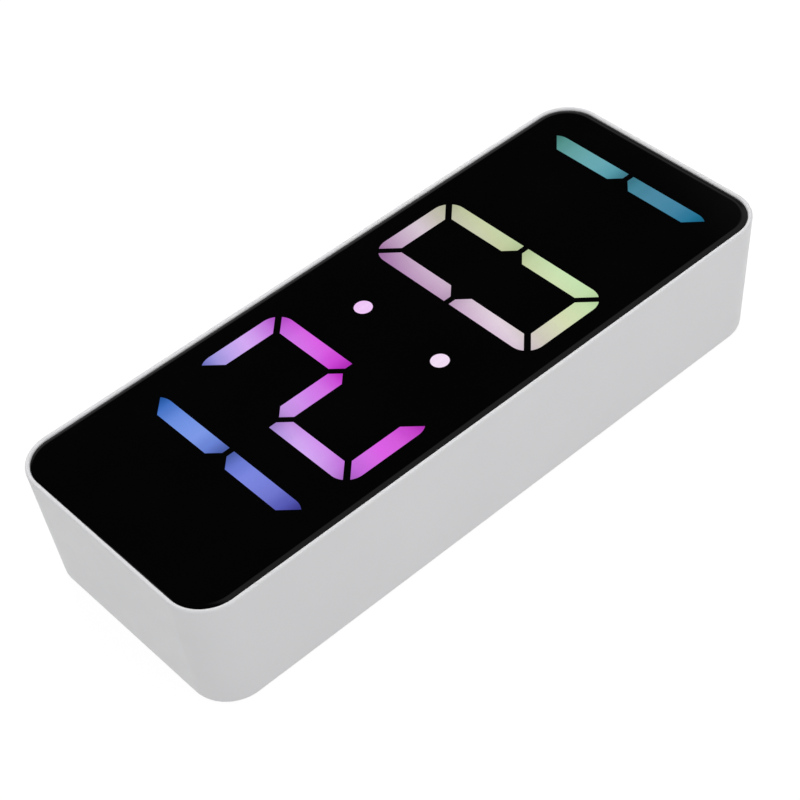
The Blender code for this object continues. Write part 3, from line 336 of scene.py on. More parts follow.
class Tree:
    """Adds nodes to a node tree and links them."""

    def __init__(self, tree):
        self.tree = tree

    def feed(self, source, socket):
        """Links a socket, or sets a plain value."""
        if isinstance(source, bpy.types.NodeSocket):
            self.tree.links.new(source, socket)
        else:
            socket.default_value = source

    def node(self, kind, values=(), **settings):
        """A new node with its settings, and with its inputs fed in order or by name."""
        node = self.tree.nodes.new("ShaderNode" + kind)
        for key, value in settings.items():
            setattr(node, key, value)
        for key, value in values.items() if isinstance(values, dict) else enumerate(values):
            self.feed(value, node.inputs[key])
        return node

    def add(self, kind, values=(), out=0, **settings):
        """One output of a new node."""
        return self.node(kind, values, **settings).outputs[out]

    def math(self, operation, *values):
        return self.add("Math", values, operation=operation)

    def times(self, *values):
        return functools.reduce(functools.partial(self.math, "MULTIPLY"), values)

    def most(self, *values):
        return functools.reduce(functools.partial(self.math, "MAXIMUM"), values)

    def parts(self, vector):
        return self.node("SeparateXYZ", [vector]).outputs

    def normal(self, axis):
        return self.parts(self.add("NewGeometry", out="Normal"))[axis]

    def along(self, place, direction):
        """How far a place lies along a direction."""
        return self.add("VectorMath", (place, direction), "Value", operation="DOT_PRODUCT")

    def span(self, *values, kind="LINEAR"):
        """A value, the ends of its range, and what they become, which is 0 and 1 unless it is given."""
        return self.add("MapRange", values, interpolation_type=kind)

    def smooth(self, *values):
        return self.span(*values, kind="SMOOTHSTEP")

    def ramp(self, factor, stops, kind="LINEAR"):
        """A colour ramp with stops of (position, grey) or (position, (red, green, blue))."""
        node = self.node("ValToRGB", [factor])
        node.color_ramp.interpolation = kind
        elements = node.color_ramp.elements
        while len(elements) < len(stops):
            elements.new(1.0)
        for element, (position, tone) in zip(elements, stops):
            element.position = position
            element.color = opaque(tone if isinstance(tone, tuple) else (tone, tone, tone))
        return node.outputs[0]

    def mix(self, factor, first, second):
        first, second = (opaque(value) if isinstance(value, tuple) else value for value in (first, second))
        return self.add("Mix", {0: factor, 6: first, 7: second}, 2, data_type="RGBA")

    def blend(self, factor, first, second):
        """Two shaders mixed."""
        return self.add("MixShader", (factor, first, second))


def empty_tree(owner):
    """The tree of a world or a material, with no node in it."""
    owner.use_nodes = True
    owner.node_tree.nodes.clear()
    return Tree(owner.node_tree)


def opaque(tone):
    return (*tone, 1.0)


def tone_of(name):
    return tuple(getattr(bpy.context.scene.clock_colours, name))


class Finish(Tree):
    """A material under construction, around one Principled shader."""

    def __init__(self, name, tone):
        self.material = bpy.data.materials.new(name)
        self.material.use_nodes = True
        super().__init__(self.material.node_tree)
        self.shader = self.tree.nodes["Principled BSDF"]
        self.base = tone_of(tone)
        self.set("Base Color", opaque(self.base))
        self.place = self.add("TexCoord", out="Object")

    def set(self, socket, value):
        self.feed(value, self.shader.inputs[socket])

    def noise(self, fineness, detail=2.0, roughness=0.5):
        values = {"Scale": fineness, "Detail": detail, "Roughness": roughness, "Vector": self.place}
        return self.add("TexNoise", values)

    def cloud(self, fineness, depth):
        """The base colour, softly clouded by a small share."""
        dark = tuple(c * (1 - depth) for c in self.base)
        light = tuple(min(1.0, c * (1 + depth)) for c in self.base)
        return self.ramp(self.noise(fineness, 3.0), ((0.3, dark), (0.7, light)))

    def roughen(self, fineness, low, high):
        self.set("Roughness", self.span(self.noise(fineness), 0.3, 0.7, low, high))

    def bump(self, height, distance, strength, below=None):
        values = {"Strength": strength, "Distance": distance, "Height": height}
        if below:
            values["Normal"] = below
        normal = self.add("Bump", values)
        self.set("Normal", normal)
        return normal


class Surface(NamedTuple):
    """A plain finish. Each noise's fineness is its number of waves in a metre."""

    name: str
    tone: str
    cloud: tuple  # fineness, and the share by which the colour changes
    rough: tuple  # fineness, least and greatest roughness
    bumps: tuple  # of (fineness, detail, noise roughness, height, strength), each on top of the one before
    metallic: float = 0.0
    ior: float = 1.5


LEAD = ((900.0, 0.12), (1200.0, 0.34, 0.50), ((3000.0, 2.0, 0.5, 0.00001, 0.3),))
SURFACES = {
    "white_plastic": Surface(
        "moulded white plastic", "white", (60.0, 0.010), (260.0, 0.34, 0.44),
        ((90.0, 1.0, 0.5, 0.00002, 0.2), (5200.0, 2.0, 0.6, 0.000012, 0.1)), ior=1.49,
    ),
    "gloss_black": Surface(
        "polished black acrylic", "panel", (40.0, 0.25), (30.0, 0.035, 0.065),
        ((55.0, 1.0, 0.5, 0.00001, 0.06),), ior=1.45,
    ),
    "black_plastic": Surface(
        "matt black plastic", "black", (300.0, 0.3), (800.0, 0.42, 0.6),
        ((6000.0, 2.0, 0.5, 0.00001, 0.5),),
    ),
    "plated_steel": Surface(
        "plated steel", "steel", (500.0, 0.08), (1500.0, 0.20, 0.40),
        ((9000.0, 2.0, 0.5, 0.000004, 0.4),), metallic=1.0,
    ),
    "red_insulation": Surface("red insulation", "lead_plus", *LEAD),
    "black_insulation": Surface("black insulation", "lead_minus", *LEAD),
}
# Name, colour, how bright a track is beside the board, and the axis that the tracks cross
BOARDS = {
    "green_board": ("green circuit board", "board", 1.9, "X"),
    "white_board": ("white circuit board", "board_white", 0.86, "Y"),
}


@functools.cache
def slot_finish(slot):
    """The finish of a material slot."""
    if slot in BOARDS:
        return board_finish(*BOARDS[slot])
    surface = SURFACES[slot]
    made = Finish(surface.name, surface.tone)
    made.set("Base Color", made.cloud(*surface.cloud))
    made.set("Metallic", surface.metallic)
    made.set("IOR", surface.ior)
    made.roughen(*surface.rough)
    below = None
    for fineness, detail, roughness, height, strength in surface.bumps:
        below = made.bump(made.noise(fineness, detail, roughness), height, strength, below)
    return made.material


def board_finish(name, tone, track, axis):
    """Solder mask over tracks, which a slow noise bends, with tinned dots."""
    pitch, width, height, bend, bend_fineness, region_fineness = 0.0016, 0.0005, 0.00003, 0.004, 60.0, 110.0
    made = Finish(name, tone)
    made.set("Roughness", 0.30)
    region = made.span(made.noise(region_fineness, 0.0), 0.49, 0.51)
    drift = made.span(made.noise(bend_fineness, 0.0), 0.0, 1.0, -bend, bend)
    across = made.math("ADD", made.parts(made.place)[axis], drift)
    phase = made.math("FRACT", made.math("DIVIDE", across, pitch))
    tracks = made.times(made.math("LESS_THAN", phase, width / pitch), region)
    mask = made.mix(tracks, made.cloud(200.0, 0.06), tuple(min(1.0, track * c) for c in made.base))
    dots = made.add("TexVoronoi", {"Scale": 260.0, "Vector": made.place}, "Distance")
    tin = made.math("LESS_THAN", dots, 0.14)
    made.set("Base Color", made.mix(tin, mask, tone_of("tin")))
    made.set("Metallic", tin)
    made.bump(tracks, height, 0.5)
    return made.material


@functools.cache
def cell_wrapper(side):
    """A printed sleeve: dark, with a bright band at the end that has the nub, and bare metal at both ends."""
    band_end, line_place, line_half, bare_from = 0.27, 0.30, 0.008, 0.75
    made = Finish(f"cell sleeve {'right' if side > 0 else 'left'}", "wrapper")
    low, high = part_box("battery_cell_2" if side > 0 else "battery_cell_1")
    start, stop = (high.x, low.x) if side > 0 else (low.x, high.x)
    along = made.span(made.parts(made.place)["X"], start, stop)
    band = made.math("LESS_THAN", along, band_end)
    line = made.math("COMPARE", along, line_place, line_half)
    sleeve = made.mix(band, made.cloud(150.0, 0.08), tone_of("band"))
    sleeve = made.mix(line, sleeve, tone_of("line"))
    bare = made.math("GREATER_THAN", made.math("ABSOLUTE", made.normal("X")), bare_from)
    made.set("Base Color", made.mix(bare, sleeve, tone_of("steel")))
    made.set("Metallic", made.most(bare, made.times(band, 0.6)))
    made.roughen(700.0, 0.20, 0.32)
    made.bump(made.noise(300.0, 1.0), 0.00002, 0.15)
    return made.material


class Light(NamedTuple):
    """What lights a digit."""

    turn: float  # of its change of colour, in degrees
    end: float  # how bright a stroke's end is beside its middle
    lift: float  # how much brighter the digit's lower half is
    stops: tuple  # of (millimetres from the digit's middle along the turn, then a screen colour)


DIGIT_LIGHTS = (
    Light(-90, 0.46, 0.0, ((-22, 85, 130, 214), (-8, 126, 154, 233), (6, 128, 141, 230), (22, 98, 98, 188))),
    Light(-20, 0.64, 0.0, (
        (-18, 132, 142, 224), (-14, 174, 164, 234), (-7, 211, 168, 243),
        (0, 208, 125, 233), (7, 219, 95, 229), (15, 209, 90, 214),
    )),
    Light(-15, 0.78, 0.08, (
        (-16, 180, 136, 184), (-10, 208, 180, 208), (-5, 221, 205, 218),
        (0, 205, 200, 187), (7, 204, 212, 171), (15, 197, 224, 176),
    )),
    Light(-80, 0.56, 0.0, ((-20, 96, 155, 146), (-4, 106, 171, 184), (8, 78, 138, 162), (22, 58, 127, 162))),
)
COLON_LIGHT = Light(-90, 0.95, 0.0, ((-14, 242, 200, 250), (14, 243, 224, 245)))
LIFT_REACH = 0.022  # half the height over which the lift works


def linear(screen):
    """A screen colour of 0 to 255 as a linear one."""
    shares = [value / 255 for value in screen]
    return tuple(s / 12.92 if s <= 0.04045 else ((s + 0.055) / 1.055) ** 2.4 for s in shares)


def lit_diffuser(name, middle, light):
    """Opal plastic lit from behind: colours that change across the digit, brightest over each lamp."""
    made = Finish(name, "opal")
    made.set("Roughness", 0.07)
    turn = math.radians(light.turn)
    direction = Vector((math.cos(turn), math.sin(turn), 0.0))
    start, stop = light.stops[0][0], light.stops[-1][0]
    offset = middle.dot(direction)
    factor = made.span(made.along(made.place, direction), offset + start / 1000, offset + stop / 1000)
    places = [((place - start) / (stop - start), linear(screen)) for place, *screen in light.stops]
    tint = made.ramp(factor, places)
    # The stroke's own map runs from -1 to 1 along it
    reach = made.math("ABSOLUTE", made.parts(made.add("UVMap", uv_map="stroke"))["X"])
    pool = ((0.0, 1.0), (0.30, 0.97), (0.60, 1 - 0.32 * (1 - light.end)), (1.0, light.end))
    level = made.ramp(reach, pool, "EASE")
    saturation = made.span(reach, 0.3, 1.0, 1.0, 1.12)
    rich = made.add("HueSaturation", {"Saturation": saturation, "Color": tint})
    flat = made.span(made.normal("Z"), 0.99, 0.80, 1.0, 0.0)
    height = made.parts(made.place)["Y"]
    lower = made.span(height, -LIFT_REACH, LIFT_REACH, 1 + light.lift, 1 - light.lift)
    grain = made.span(made.noise(5200.0, 2.0, 0.7), 0.25, 0.75, 0.95, 1.05)
    strength = made.times(level, flat, lower, grain)
    glow = made.add("VectorMath", {0: rich, "Scale": strength}, operation="SCALE")
    made.set("Emission Color", glow)
    made.set("Emission Strength", 1.0)
    return made.material


# Shapes of the face


def digit_outlines(sizes, width, height):
    """The seven strokes of a digit by their usual letters, about the digit's middle."""
    stroke, gap, end = sizes.stroke, sizes.stroke_gap, sizes.stroke_end
    left, top = -width / 2, height / 2
    mitre = gap / math.sqrt(2)
    corner = math.pi * 3 / 4
    aside = math.asin(mitre / (stroke * math.sqrt(2)))
    centre = (left + stroke, top - stroke)
    # Rounded at the digit's corner, mitred against the top stroke and part chamfered at mid height
    upper_left = arc(centre, stroke, corner + aside, math.pi, FILLET_STEPS) + [
        (left, gap / 2),
        (left + end, gap / 2),
        (left + stroke, gap / 2 + stroke - end),
        (left + stroke, top - stroke - mitre),
    ]
    # Mitred at both ends, with the digit's outer corners rounded
    half = arc(centre, stroke, math.pi / 2, corner - aside, FILLET_STEPS)
    half += [(left + stroke + mitre, top - stroke)]
    upper = half + [(-x, y) for x, y in reversed(half)]
    # Pointed at both ends
    tip = width / 2 - end - gap * (math.sqrt(2) - 1 / 2)
    right = [(tip - stroke / 2, -stroke / 2), (tip, 0), (tip - stroke / 2, stroke / 2)]
    return {
        "a": upper,
        "b": flipped(upper_left, True, False),
        "c": flipped(upper_left, True, True),
        "d": flipped(upper, False, True),
        "e": flipped(upper_left, False, True),
        "f": upper_left,
        "g": right + [(-x, -y) for x, y in right],
    }


def flipped(outline, across, down):
    """An outline mirrored left to right, top to bottom, or both, still listed anticlockwise."""
    points = [(-x if across else x, -y if down else y) for x, y in outline]
    return points[::-1] if across != down else points


def grown(outline, by):
    """A convex outline, listed anticlockwise, moved outwards by a distance."""
    points = [Vector(point) for point in outline]
    result = []
    for before, point, after in zip(points[-1:] + points[:-1], points, points[1:] + points[:1]):
        first, second = (point - before).normalized(), (after - point).normalized()
        out_first, out_second = Vector((first.y, -first.x)), Vector((second.y, -second.x))
        result.append(point + (out_first + out_second) * by / (1 + out_first.dot(out_second)))
    return [tuple(point) for point in result]


def placed_digits(sizes):
    """The seven strokes of each of the four digits, in place."""
    low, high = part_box("digit_diffuser_1")
    strokes = digit_outlines(sizes, high.x - low.x - 2 * PLATE_MARGIN, high.y - low.y - 2 * PLATE_MARGIN)
    for node in four("digit_diffuser"):
        across = middle_of(node).x
        yield {letter: [(x + across, y) for x, y in strokes[letter]] for letter in ALL_SEGMENTS}


def dot_outlines(sizes):
    """The colon's two dots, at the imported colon's ends."""
    low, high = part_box("colon_diffuser")
    reach = (high.y - low.y) / 2 - sizes.dot_inset
    places = [((low.x + high.x) / 2, side * reach) for side in (1, -1)]
    return [arc(place, sizes.dot_radius, 0, 2 * math.pi, ROUND_STEPS)[:-1] for place in places]


# The studio


# Diameter and place of each lamp, and whether it gives the sheen of rounded edges and not the soft light
LAMPS = {
    "softbox": (0.60, (-0.18, -0.36, 1.13), False),
    "rear": (0.60, (0.45, 0.80, 0.70), False),
    "near_sheen": (0.60, (0.51, -0.42, 1.00), True),
    "left_sheen": (0.50, (-0.50, 0.66, 0.87), True),
}
# What reflections see in a dark room. The strength of each bright area is the product of its factors, and
# each factor is (part of the direction, start, stop, value at the start, value at the stop)
BRIGHT_AREAS = {
    "ceiling": (("Y", 0.46, 0.36, 0.0, 0.36), ("X", 0.12, 0.30, 0.0, 1.0), ("Z", 0.30, 0.50, 0.0, 1.0)),
    "right": (("X", 0.55, 0.68, 0.0, 0.34), ("X", 0.68, 0.76, 1.0, 0.25)),
    "back": (
        ("Z", 0.54, 0.45, 0.0, 0.36),
        ("X", -0.4, 0.0, 0.0, 1.0),
        ("X", 0.54, 0.68, 1.0, 0.35),
        ("Y", 0.0, 0.3, 0.0, 1.0),
    ),
    "horizon": (("Z", 0.20, 0.06, 0.0, 1.0),),
}
DARK_ROOM = 0.012
NEAR_LEFT = (-0.42, -0.91, 0.0)  # where the light from all round is brightest
WHITE = (1.0, 1.0, 1.0, 1.0)
FLOOR_GREY = (0.92, 0.92, 0.92, 1.0)
FLOOR_SIZE = 6.0  # half the floor's side
FLOOR_SHIFT = 2.0  # away from the camera
FLOOR_GLOW = 1.07
FLOOR_GLOW_SHARE = 0.85
# The light that the floor throws back is dimmer near the clock and at its left end, and brighter under it:
# start, stop and the values there, over the distance from the clock, and over X in the last
BOUNCE_BESIDE = (-0.004, 0.050, 0.84, 1.0)
BOUNCE_BELOW = (-0.004, -0.010, 0.0, 0.5)
BOUNCE_ALONG = (-0.13, -0.03, 0.79, 1.0)
CAMERA_PLACE = (-0.20003831, -0.26004373, 0.33701244)
CAMERA_TURN = (44.98928, 4.98687, -42.13585)  # in degrees
SENSOR_WIDTH = 36.0  # in millimetres
CLIP_START = 0.01


class CLOCK_OT_studio(bpy.types.Operator):
    """Floor, light and camera"""

    bl_idname = "clock.studio"
    bl_label = "Studio"

    def execute(self, context):
        studio = context.scene.clock_studio
        build_world(context.scene, studio)
        build_floor(studio)
        for name, (size, place, sheen) in LAMPS.items():
            build_lamp(context.scene, name, size, place, sheen, getattr(studio, name))
        build_camera(context.scene, studio)
        return {"FINISHED"}


def build_world(scene, studio):
    """White for the camera, soft light from all round, and a dark room with bright areas for reflections."""
    scene.world = bpy.data.worlds.new("studio")
    made = empty_tree(scene.world)
    path = made.node("LightPath").outputs
    direction = made.add("TexCoord", out="Generated")
    toward = made.parts(direction)
    areas = [
        made.times(*(made.smooth(toward[axis], *limits) for axis, *limits in factors))
        for factors in BRIGHT_AREAS.values()
    ]
    reflected = made.most(*areas, DARK_ROOM)
    dim, full = (1 - studio.slant) * studio.ambient, (1 + studio.slant) * studio.ambient
    ambient = made.span(made.along(direction, NEAR_LEFT), -1.0, 1.0, dim, full)
    seen = made.most(path["Is Glossy Ray"], path["Is Transmission Ray"])
    strength = made.add("Mix", {0: seen, 2: ambient, 3: reflected}, data_type="FLOAT")
    light = made.add("Background", {"Color": WHITE, "Strength": strength})
    surface = made.blend(path["Is Camera Ray"], light, made.add("Background", {"Color": WHITE}))
    made.node("OutputWorld", {"Surface": surface})


def floor_finish(studio):
    """White where the camera sees it, with a part of the real shadow, and clear from below."""
    material = bpy.data.materials.new("white floor")
    made = empty_tree(material)
    path = made.node("LightPath").outputs
    matt = made.add("BsdfDiffuse", {"Color": FLOOR_GREY})
    shown = made.blend(FLOOR_GLOW_SHARE, matt, made.add("Emission", {"Strength": FLOOR_GLOW}))
    place = made.parts(made.add("TexCoord", out="Object"))
    across = made.math("SUBTRACT", made.math("ABSOLUTE", place["X"]), CAD_HIGH.x)
    down = made.math("SUBTRACT", made.math("ABSOLUTE", place["Y"]), CAD_HIGH.y)
    away = made.most(across, down)
    level = made.math("ADD", made.smooth(away, *BOUNCE_BESIDE), made.span(away, *BOUNCE_BELOW))
    level = made.times(level, made.span(place["X"], *BOUNCE_ALONG), studio.bounce)
    lit = made.blend(path["Is Diffuse Ray"], shown, made.add("Emission", {"Strength": level}))
    surface = made.blend(made.add("NewGeometry", out="Backfacing"), lit, made.add("BsdfTransparent"))
    made.node("OutputMaterial", {"Surface": surface})
    return material


def build_floor(studio):
    bm = bmesh.new()
    bmesh.ops.create_grid(bm, x_segments=1, y_segments=1, size=FLOOR_SIZE)
    bmesh.ops.translate(bm, verts=bm.verts, vec=(0, FLOOR_SHIFT, -GAP))
    floor = new_object("floor", bm)
    floor.data.materials.append(floor_finish(studio))


def build_lamp(scene, name, size, place, sheen, energy):
    """A round lamp that looks at the clock."""
    data = bpy.data.lights.new(name, "AREA")
    data.shape = "DISK"
    data.size = size
    data.energy = energy
    lamp = bpy.data.objects.new(name, data)
    lamp.location = place
    aim = (CAD_LOW + CAD_HIGH) / 2
    lamp.rotation_euler = (aim - lamp.location).to_track_quat("-Z", "Y").to_euler()
    lamp.visible_camera = False
    lamp.visible_glossy = sheen
    lamp.visible_diffuse = not sheen
    scene.collection.objects.link(lamp)


def build_camera(scene, studio):
    """The photograph's view, found from the face's straight edges and the housing's outline."""
    data = bpy.data.cameras.new("camera")
    data.lens = studio.lens
    data.sensor_width = SENSOR_WIDTH
    data.clip_start = CLIP_START
    camera = bpy.data.objects.new("camera", data)
    camera.location = CAMERA_PLACE
    camera.rotation_euler = [math.radians(angle) for angle in CAMERA_TURN]
    scene.collection.objects.link(camera)
    scene.camera = camera


# The housing


def shrink(verts, by_x, by_y, width, height):
    """Leans walls in: moves vertices at the ends of a width and a height by the given lengths."""
    for vert in verts:
        vert.co.x *= 1 - 2 * by_x / width
        vert.co.y *= 1 - 2 * by_y / height


def tub_shell(sizes):
    """The outer shell with its lip, the panel's seat and the hollow, drawn from one block."""
    low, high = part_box("housing")
    width, height, depth = high - low
    bm = rounded_block(low, high, sizes.corner_radius)
    back = [vert for vert in bm.verts if vert.co.z < (low.z + high.z) / 2]
    shrink(back, sizes.end_draft, sizes.side_draft, width, height)
    round_edges(bm, level_edges(bm, low.z), sizes.back_fillet, FILLET_STEPS)
    round_edges(bm, level_edges(bm, high.z), sizes.rim_outer_edge, FILLET_STEPS)
    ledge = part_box("front_panel")[0].z - GAP
    mouth = inset_face(bm, face_at(bm, high.z), sizes.rim - sizes.rim_outer_edge)
    seat = sink_face(bm, mouth, high.z - ledge)
    inner = inset_face(bm, seat, sizes.wall - sizes.rim)
    floor = sink_face(bm, inner, ledge - sizes.wall)
    lean = (ledge - sizes.wall) / depth
    width, height = width - 2 * sizes.wall, height - 2 * sizes.wall
    shrink(floor.verts, sizes.end_draft * lean, sizes.side_draft * lean, width, height)
    round_edges(bm, sharp_edges(level_edges(bm, high.z)), sizes.rim_inner_edge, FILLET_STEPS)
    round_edges(bm, sharp_edges(level_edges(bm, sizes.wall)), sizes.wall / 3, EDGE_STEPS)
    return bm


def posts(sizes):
    """Posts for the case screws and the main board."""
    radius, small_radius, draft = 0.0041, 0.0028, 0.000205
    floor = sizes.wall - ROOT
    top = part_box("display_board")[0].z - GAP
    bm = turned(cylinder(radius, floor, top, draft), axes_of(*four("case_screw")))
    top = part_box("main_board")[0].z - GAP
    for place in axes_of(*four("main_board_screw")):
        add_turned(bm, cylinder(small_radius, floor, top, draft), place)
    return bm


def bay_box():
    """Low and high corner of the hollow that holds the cells."""
    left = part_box("contact_bridge_left")[0].x - GAP
    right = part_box("contact_bridge_right")[1].x + GAP
    cell_low, cell_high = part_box("battery_cell_3")[0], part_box("battery_cell_1")[1]
    low = Vector((left, cell_low.y - GAP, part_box("housing")[0].z))
    return low, Vector((right, cell_high.y + GAP, cell_high.z + GAP))


def build_bay(bm, sizes):
    """The walls round the cells, the door's frame and screw boss, then the hollow and the rebate."""
    wall, frame_margin, frame_height, corner = 0.0016, 0.0014, 0.0020, 0.0020
    boss_radius, boss_height, boss_draft = 0.0028, 0.0060, 0.0001
    bay, door = bay_box(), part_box("battery_door")
    low, high = bay
    inside_face = sizes.wall
    bm = join(bm, grown_block(bay, wall, inside_face - ROOT, high.z + wall, wall))
    frame_low, frame_high = inside_face - 3 * ROOT / 2, inside_face + frame_height
    bm = join(bm, grown_block(door, frame_margin, frame_low, frame_high, corner))
    boss = cylinder(boss_radius, inside_face + ROOT, inside_face + boss_height, boss_draft)
    bm = join(bm, turned(boss, axes_of("battery_door_screw")))
    bm = cut(bm, rounded_block((low.x, low.y, -OVERRUN), high, sizes.opening_edge, EDGE_STEPS))
    return cut(bm, grown_block(door, GAP, -OVERRUN, inside_face, corner))


def build_housing(sizes):
    button_radius, sound_radius, sound_ring, sound_count = 0.0038, 0.0008, 0.0032, 6
    shank, well, seat, bore, boss_bore_height = 0.0016, 0.0026, 0.0025, 0.0013, 0.0045
    low, high = -OVERRUN, sizes.wall + OVERRUN
    bm = build_bay(join(tub_shell(sizes), posts(sizes)), sizes)
    holes = turned(cylinder(button_radius, low, high), axes_of(*four("button")))
    buzzer = middle_of("buzzer").xy
    for x, y in arc(buzzer, sound_ring, 0, 2 * math.pi, sound_count)[:-1] + [tuple(buzzer)]:
        add_turned(holes, cylinder(sound_radius, low, high), (x, y, 0), ROUND_STEPS // 2)
    bm = cut(bm, holes)
    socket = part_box("power_socket")
    radius = (socket[1].y - socket[0].y) / 2 + GAP - TINY
    bm = cut(bm, grown_block(socket, GAP, low, high, radius))
    post_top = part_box("display_board")[0].z - GAP
    profile = stepped(shank, well, low, post_top - seat, post_top + OVERRUN)
    bm = cut(bm, turned(profile, axes_of(*four("case_screw"))))
    post_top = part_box("main_board")[0].z - GAP
    small = turned(cylinder(bore, high, post_top + OVERRUN), axes_of(*four("main_board_screw")))
    profile = cylinder(bore, sizes.wall - OVERRUN, sizes.wall + boss_bore_height)
    add_turned(small, profile, axes_of("battery_door_screw")[0])
    bm = cut(bm, small)
    round_edges(bm, sharp_edges(level_edges(bm, 0.0)), sizes.opening_edge)
    return bm


class CLOCK_OT_housing(bpy.types.Operator):
    """The white tub with its lip, posts, battery bay and openings"""

    bl_idname = "clock.housing"
    bl_label = "Housing"

    def execute(self, context):
        finish_piece("tub", build_housing(context.scene.clock_sizes), "housing", "white_plastic")
        return {"FINISHED"}


# Front panel and digits


class CLOCK_OT_front_panel(bpy.types.Operator):
    """The black panel with its soft edge and a window for each lit stroke"""

    bl_idname = "clock.front_panel"
    bl_label = "Front panel"

    def execute(self, context):
        sizes = context.scene.clock_sizes
        low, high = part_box("front_panel")
        inset = sizes.rim + sizes.panel_gap
        shoulder = high.z - sizes.panel_edge_depth
        (left, front), (right, rear) = grown_box(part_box("housing"), -inset)
        bm = rounded_block((left, front, low.z), (right, rear, shoulder), sizes.corner_radius - inset)
        crown_edge(bm, face_at(bm, shoulder), sizes.panel_edge_width, sizes.panel_edge_depth)
        lit = [strokes[s] for strokes, named in zip(placed_digits(sizes), LIT_SEGMENTS) for s in named]
        windows = [grown(outline, WINDOW_GAP) for outline in lit + dot_outlines(sizes)]
        bm = cut(bm, outline_solid(windows, low.z - OVERRUN, high.z + OVERRUN))
        finish_piece("panel", bm, "front_panel", "gloss_black")
        return {"FINISHED"}


def crown_edge(bm, face, width, depth):
    """Raises a face in rings so that its edge falls away along a circle's arc."""
    radius = (width**2 + depth**2) / (2 * depth)
    start = math.sqrt(radius**2 - width**2)
    ring, done = width / FILLET_STEPS, 0.0
    for step in range(1, FILLET_STEPS + 1):
        up = math.sqrt(radius**2 - (width - ring * step) ** 2) - start
        inset_face(bm, face, ring, up - done)
        done = up


def inside(outline, point):
    """Whether a point is in a convex outline that is listed anticlockwise."""
    pairs = zip(outline, outline[1:] + outline[:1])
    return all((bx - ax) * (point.y - ay) - (by - ay) * (point.x - ax) > 0 for (ax, ay), (bx, by) in pairs)


def map_strokes(bm, lit, uprights):
    """Gives each lit stroke a map of its own: along it, then across it, from -1 to 1."""
    layer = bm.loops.layers.uv.new("stroke")
    reached = [grown(outline, GAP) for outline in lit]
    for face in bm.faces:
        centre = face.calc_center_median()
        for outline, upright in zip(reached, uprights):
            if not inside(outline, centre):
                continue
            xs, ys = zip(*outline)
            for loop in face.loops:
                x = (2 * loop.vert.co.x - min(xs) - max(xs)) / (max(xs) - min(xs))
                y = (2 * loop.vert.co.y - min(ys) - max(ys)) / (max(ys) - min(ys))
                loop[layer].uv = (y, x) if upright else (x, y)


def build_diffuser(sizes, kind, number, every, lit, uprights, light):
    """The opal plate with a plug behind every stroke and its lit strokes up to the panel's face."""
    node = f"{kind}_diffuser{number}"
    low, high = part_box(node)
    plate_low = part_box("segment_frame")[1].z + GAP
    plate_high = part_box("front_panel")[0].z - GAP
    bm = grown_block((low, high), 0.0, plate_low, plate_high, PLATE_MARGIN)
    middle = (plate_low + plate_high) / 2
    bm = join(bm, outline_solid([grown(outline, -GAP) for outline in every], low.z, middle))
    strokes = outline_solid(lit, middle, high.z)
    round_edges(strokes, level_edges(strokes, high.z), sizes.stroke_edge)
    bm = join(bm, strokes)
    map_strokes(bm, lit, uprights)
    finish = lit_diffuser(f"lit opal {kind}{number}".replace("_", " "), middle_of(node), light)
    finish_piece(f"{kind}{number}", bm, node, f"{kind}_light{number}", finish=finish)


class CLOCK_OT_digits(bpy.types.Operator):
    """The four lit digits and the colon"""

    bl_idname = "clock.digits"
    bl_label = "Digits"

    def execute(self, context):
        sizes = context.scene.clock_sizes
        for number, strokes, named, light in zip(FOUR, placed_digits(sizes), LIT_SEGMENTS, DIGIT_LIGHTS):
            lit = [strokes[letter] for letter in named]
            uprights = [letter in UPRIGHT_SEGMENTS for letter in named]
            build_diffuser(sizes, "digit", f"_{number}", list(strokes.values()), lit, uprights, light)
        dots = dot_outlines(sizes)
        build_diffuser(sizes, "colon", "", dots, dots, [True, True], COLON_LIGHT)
        return {"FINISHED"}


# Back, cells and fittings


class CLOCK_OT_buttons(bpy.types.Operator):
    """Four buttons with dished caps"""

    bl_idname = "clock.buttons"
    bl_label = "Buttons"

    def execute(self, context):
        cap, flange, pin, pin_height, flange_height = 0.0035, 0.0047, 0.0013, 0.0003, 0.0010
        edge, flange_edge, dish, dish_steps = 0.0005, 0.00015, 0.00025, 6
        for number in FOUR:
            node = f"button_{number}"
            low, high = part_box(node)
            flange_high = high.z - pin_height
            flange_low = flange_high - flange_height
            profile = [(0, high.z), (pin, high.z), (pin, flange_high), (flange - flange_edge, flange_high)]
            profile += [(flange, flange_high - flange_edge), (flange, flange_low + flange_edge)]
            profile += [(flange - flange_edge, flange_low), (cap, flange_low)]
            profile += quarter(cap - edge, low.z + edge, edge, 0, -90)
            for k in range(dish_steps - 1, -1, -1):
                out = k / dish_steps
                profile += [((cap - edge) * out, low.z + dish * (1 - out**2))]
            body = f"button_body_{number}"
            finish_piece(f"key_{number}", turned(profile, axes_of(node)), node, "white_plastic", body)
        return {"FINISHED"}


def cross_outline(radius):
    """Outline of a cross recess in a head of the given radius, listed anticlockwise."""
    half_share, reach_share = 0.182, 0.62
    half, reach = radius * half_share, radius * reach_share
    arm = [Vector(point) for point in ((reach, -half), (reach, half), (half, half))]
    turns = [Matrix.Rotation(k * math.pi / 2, 2) for k in range(4)]
    return [tuple(turn @ point) for turn in turns for point in arm]


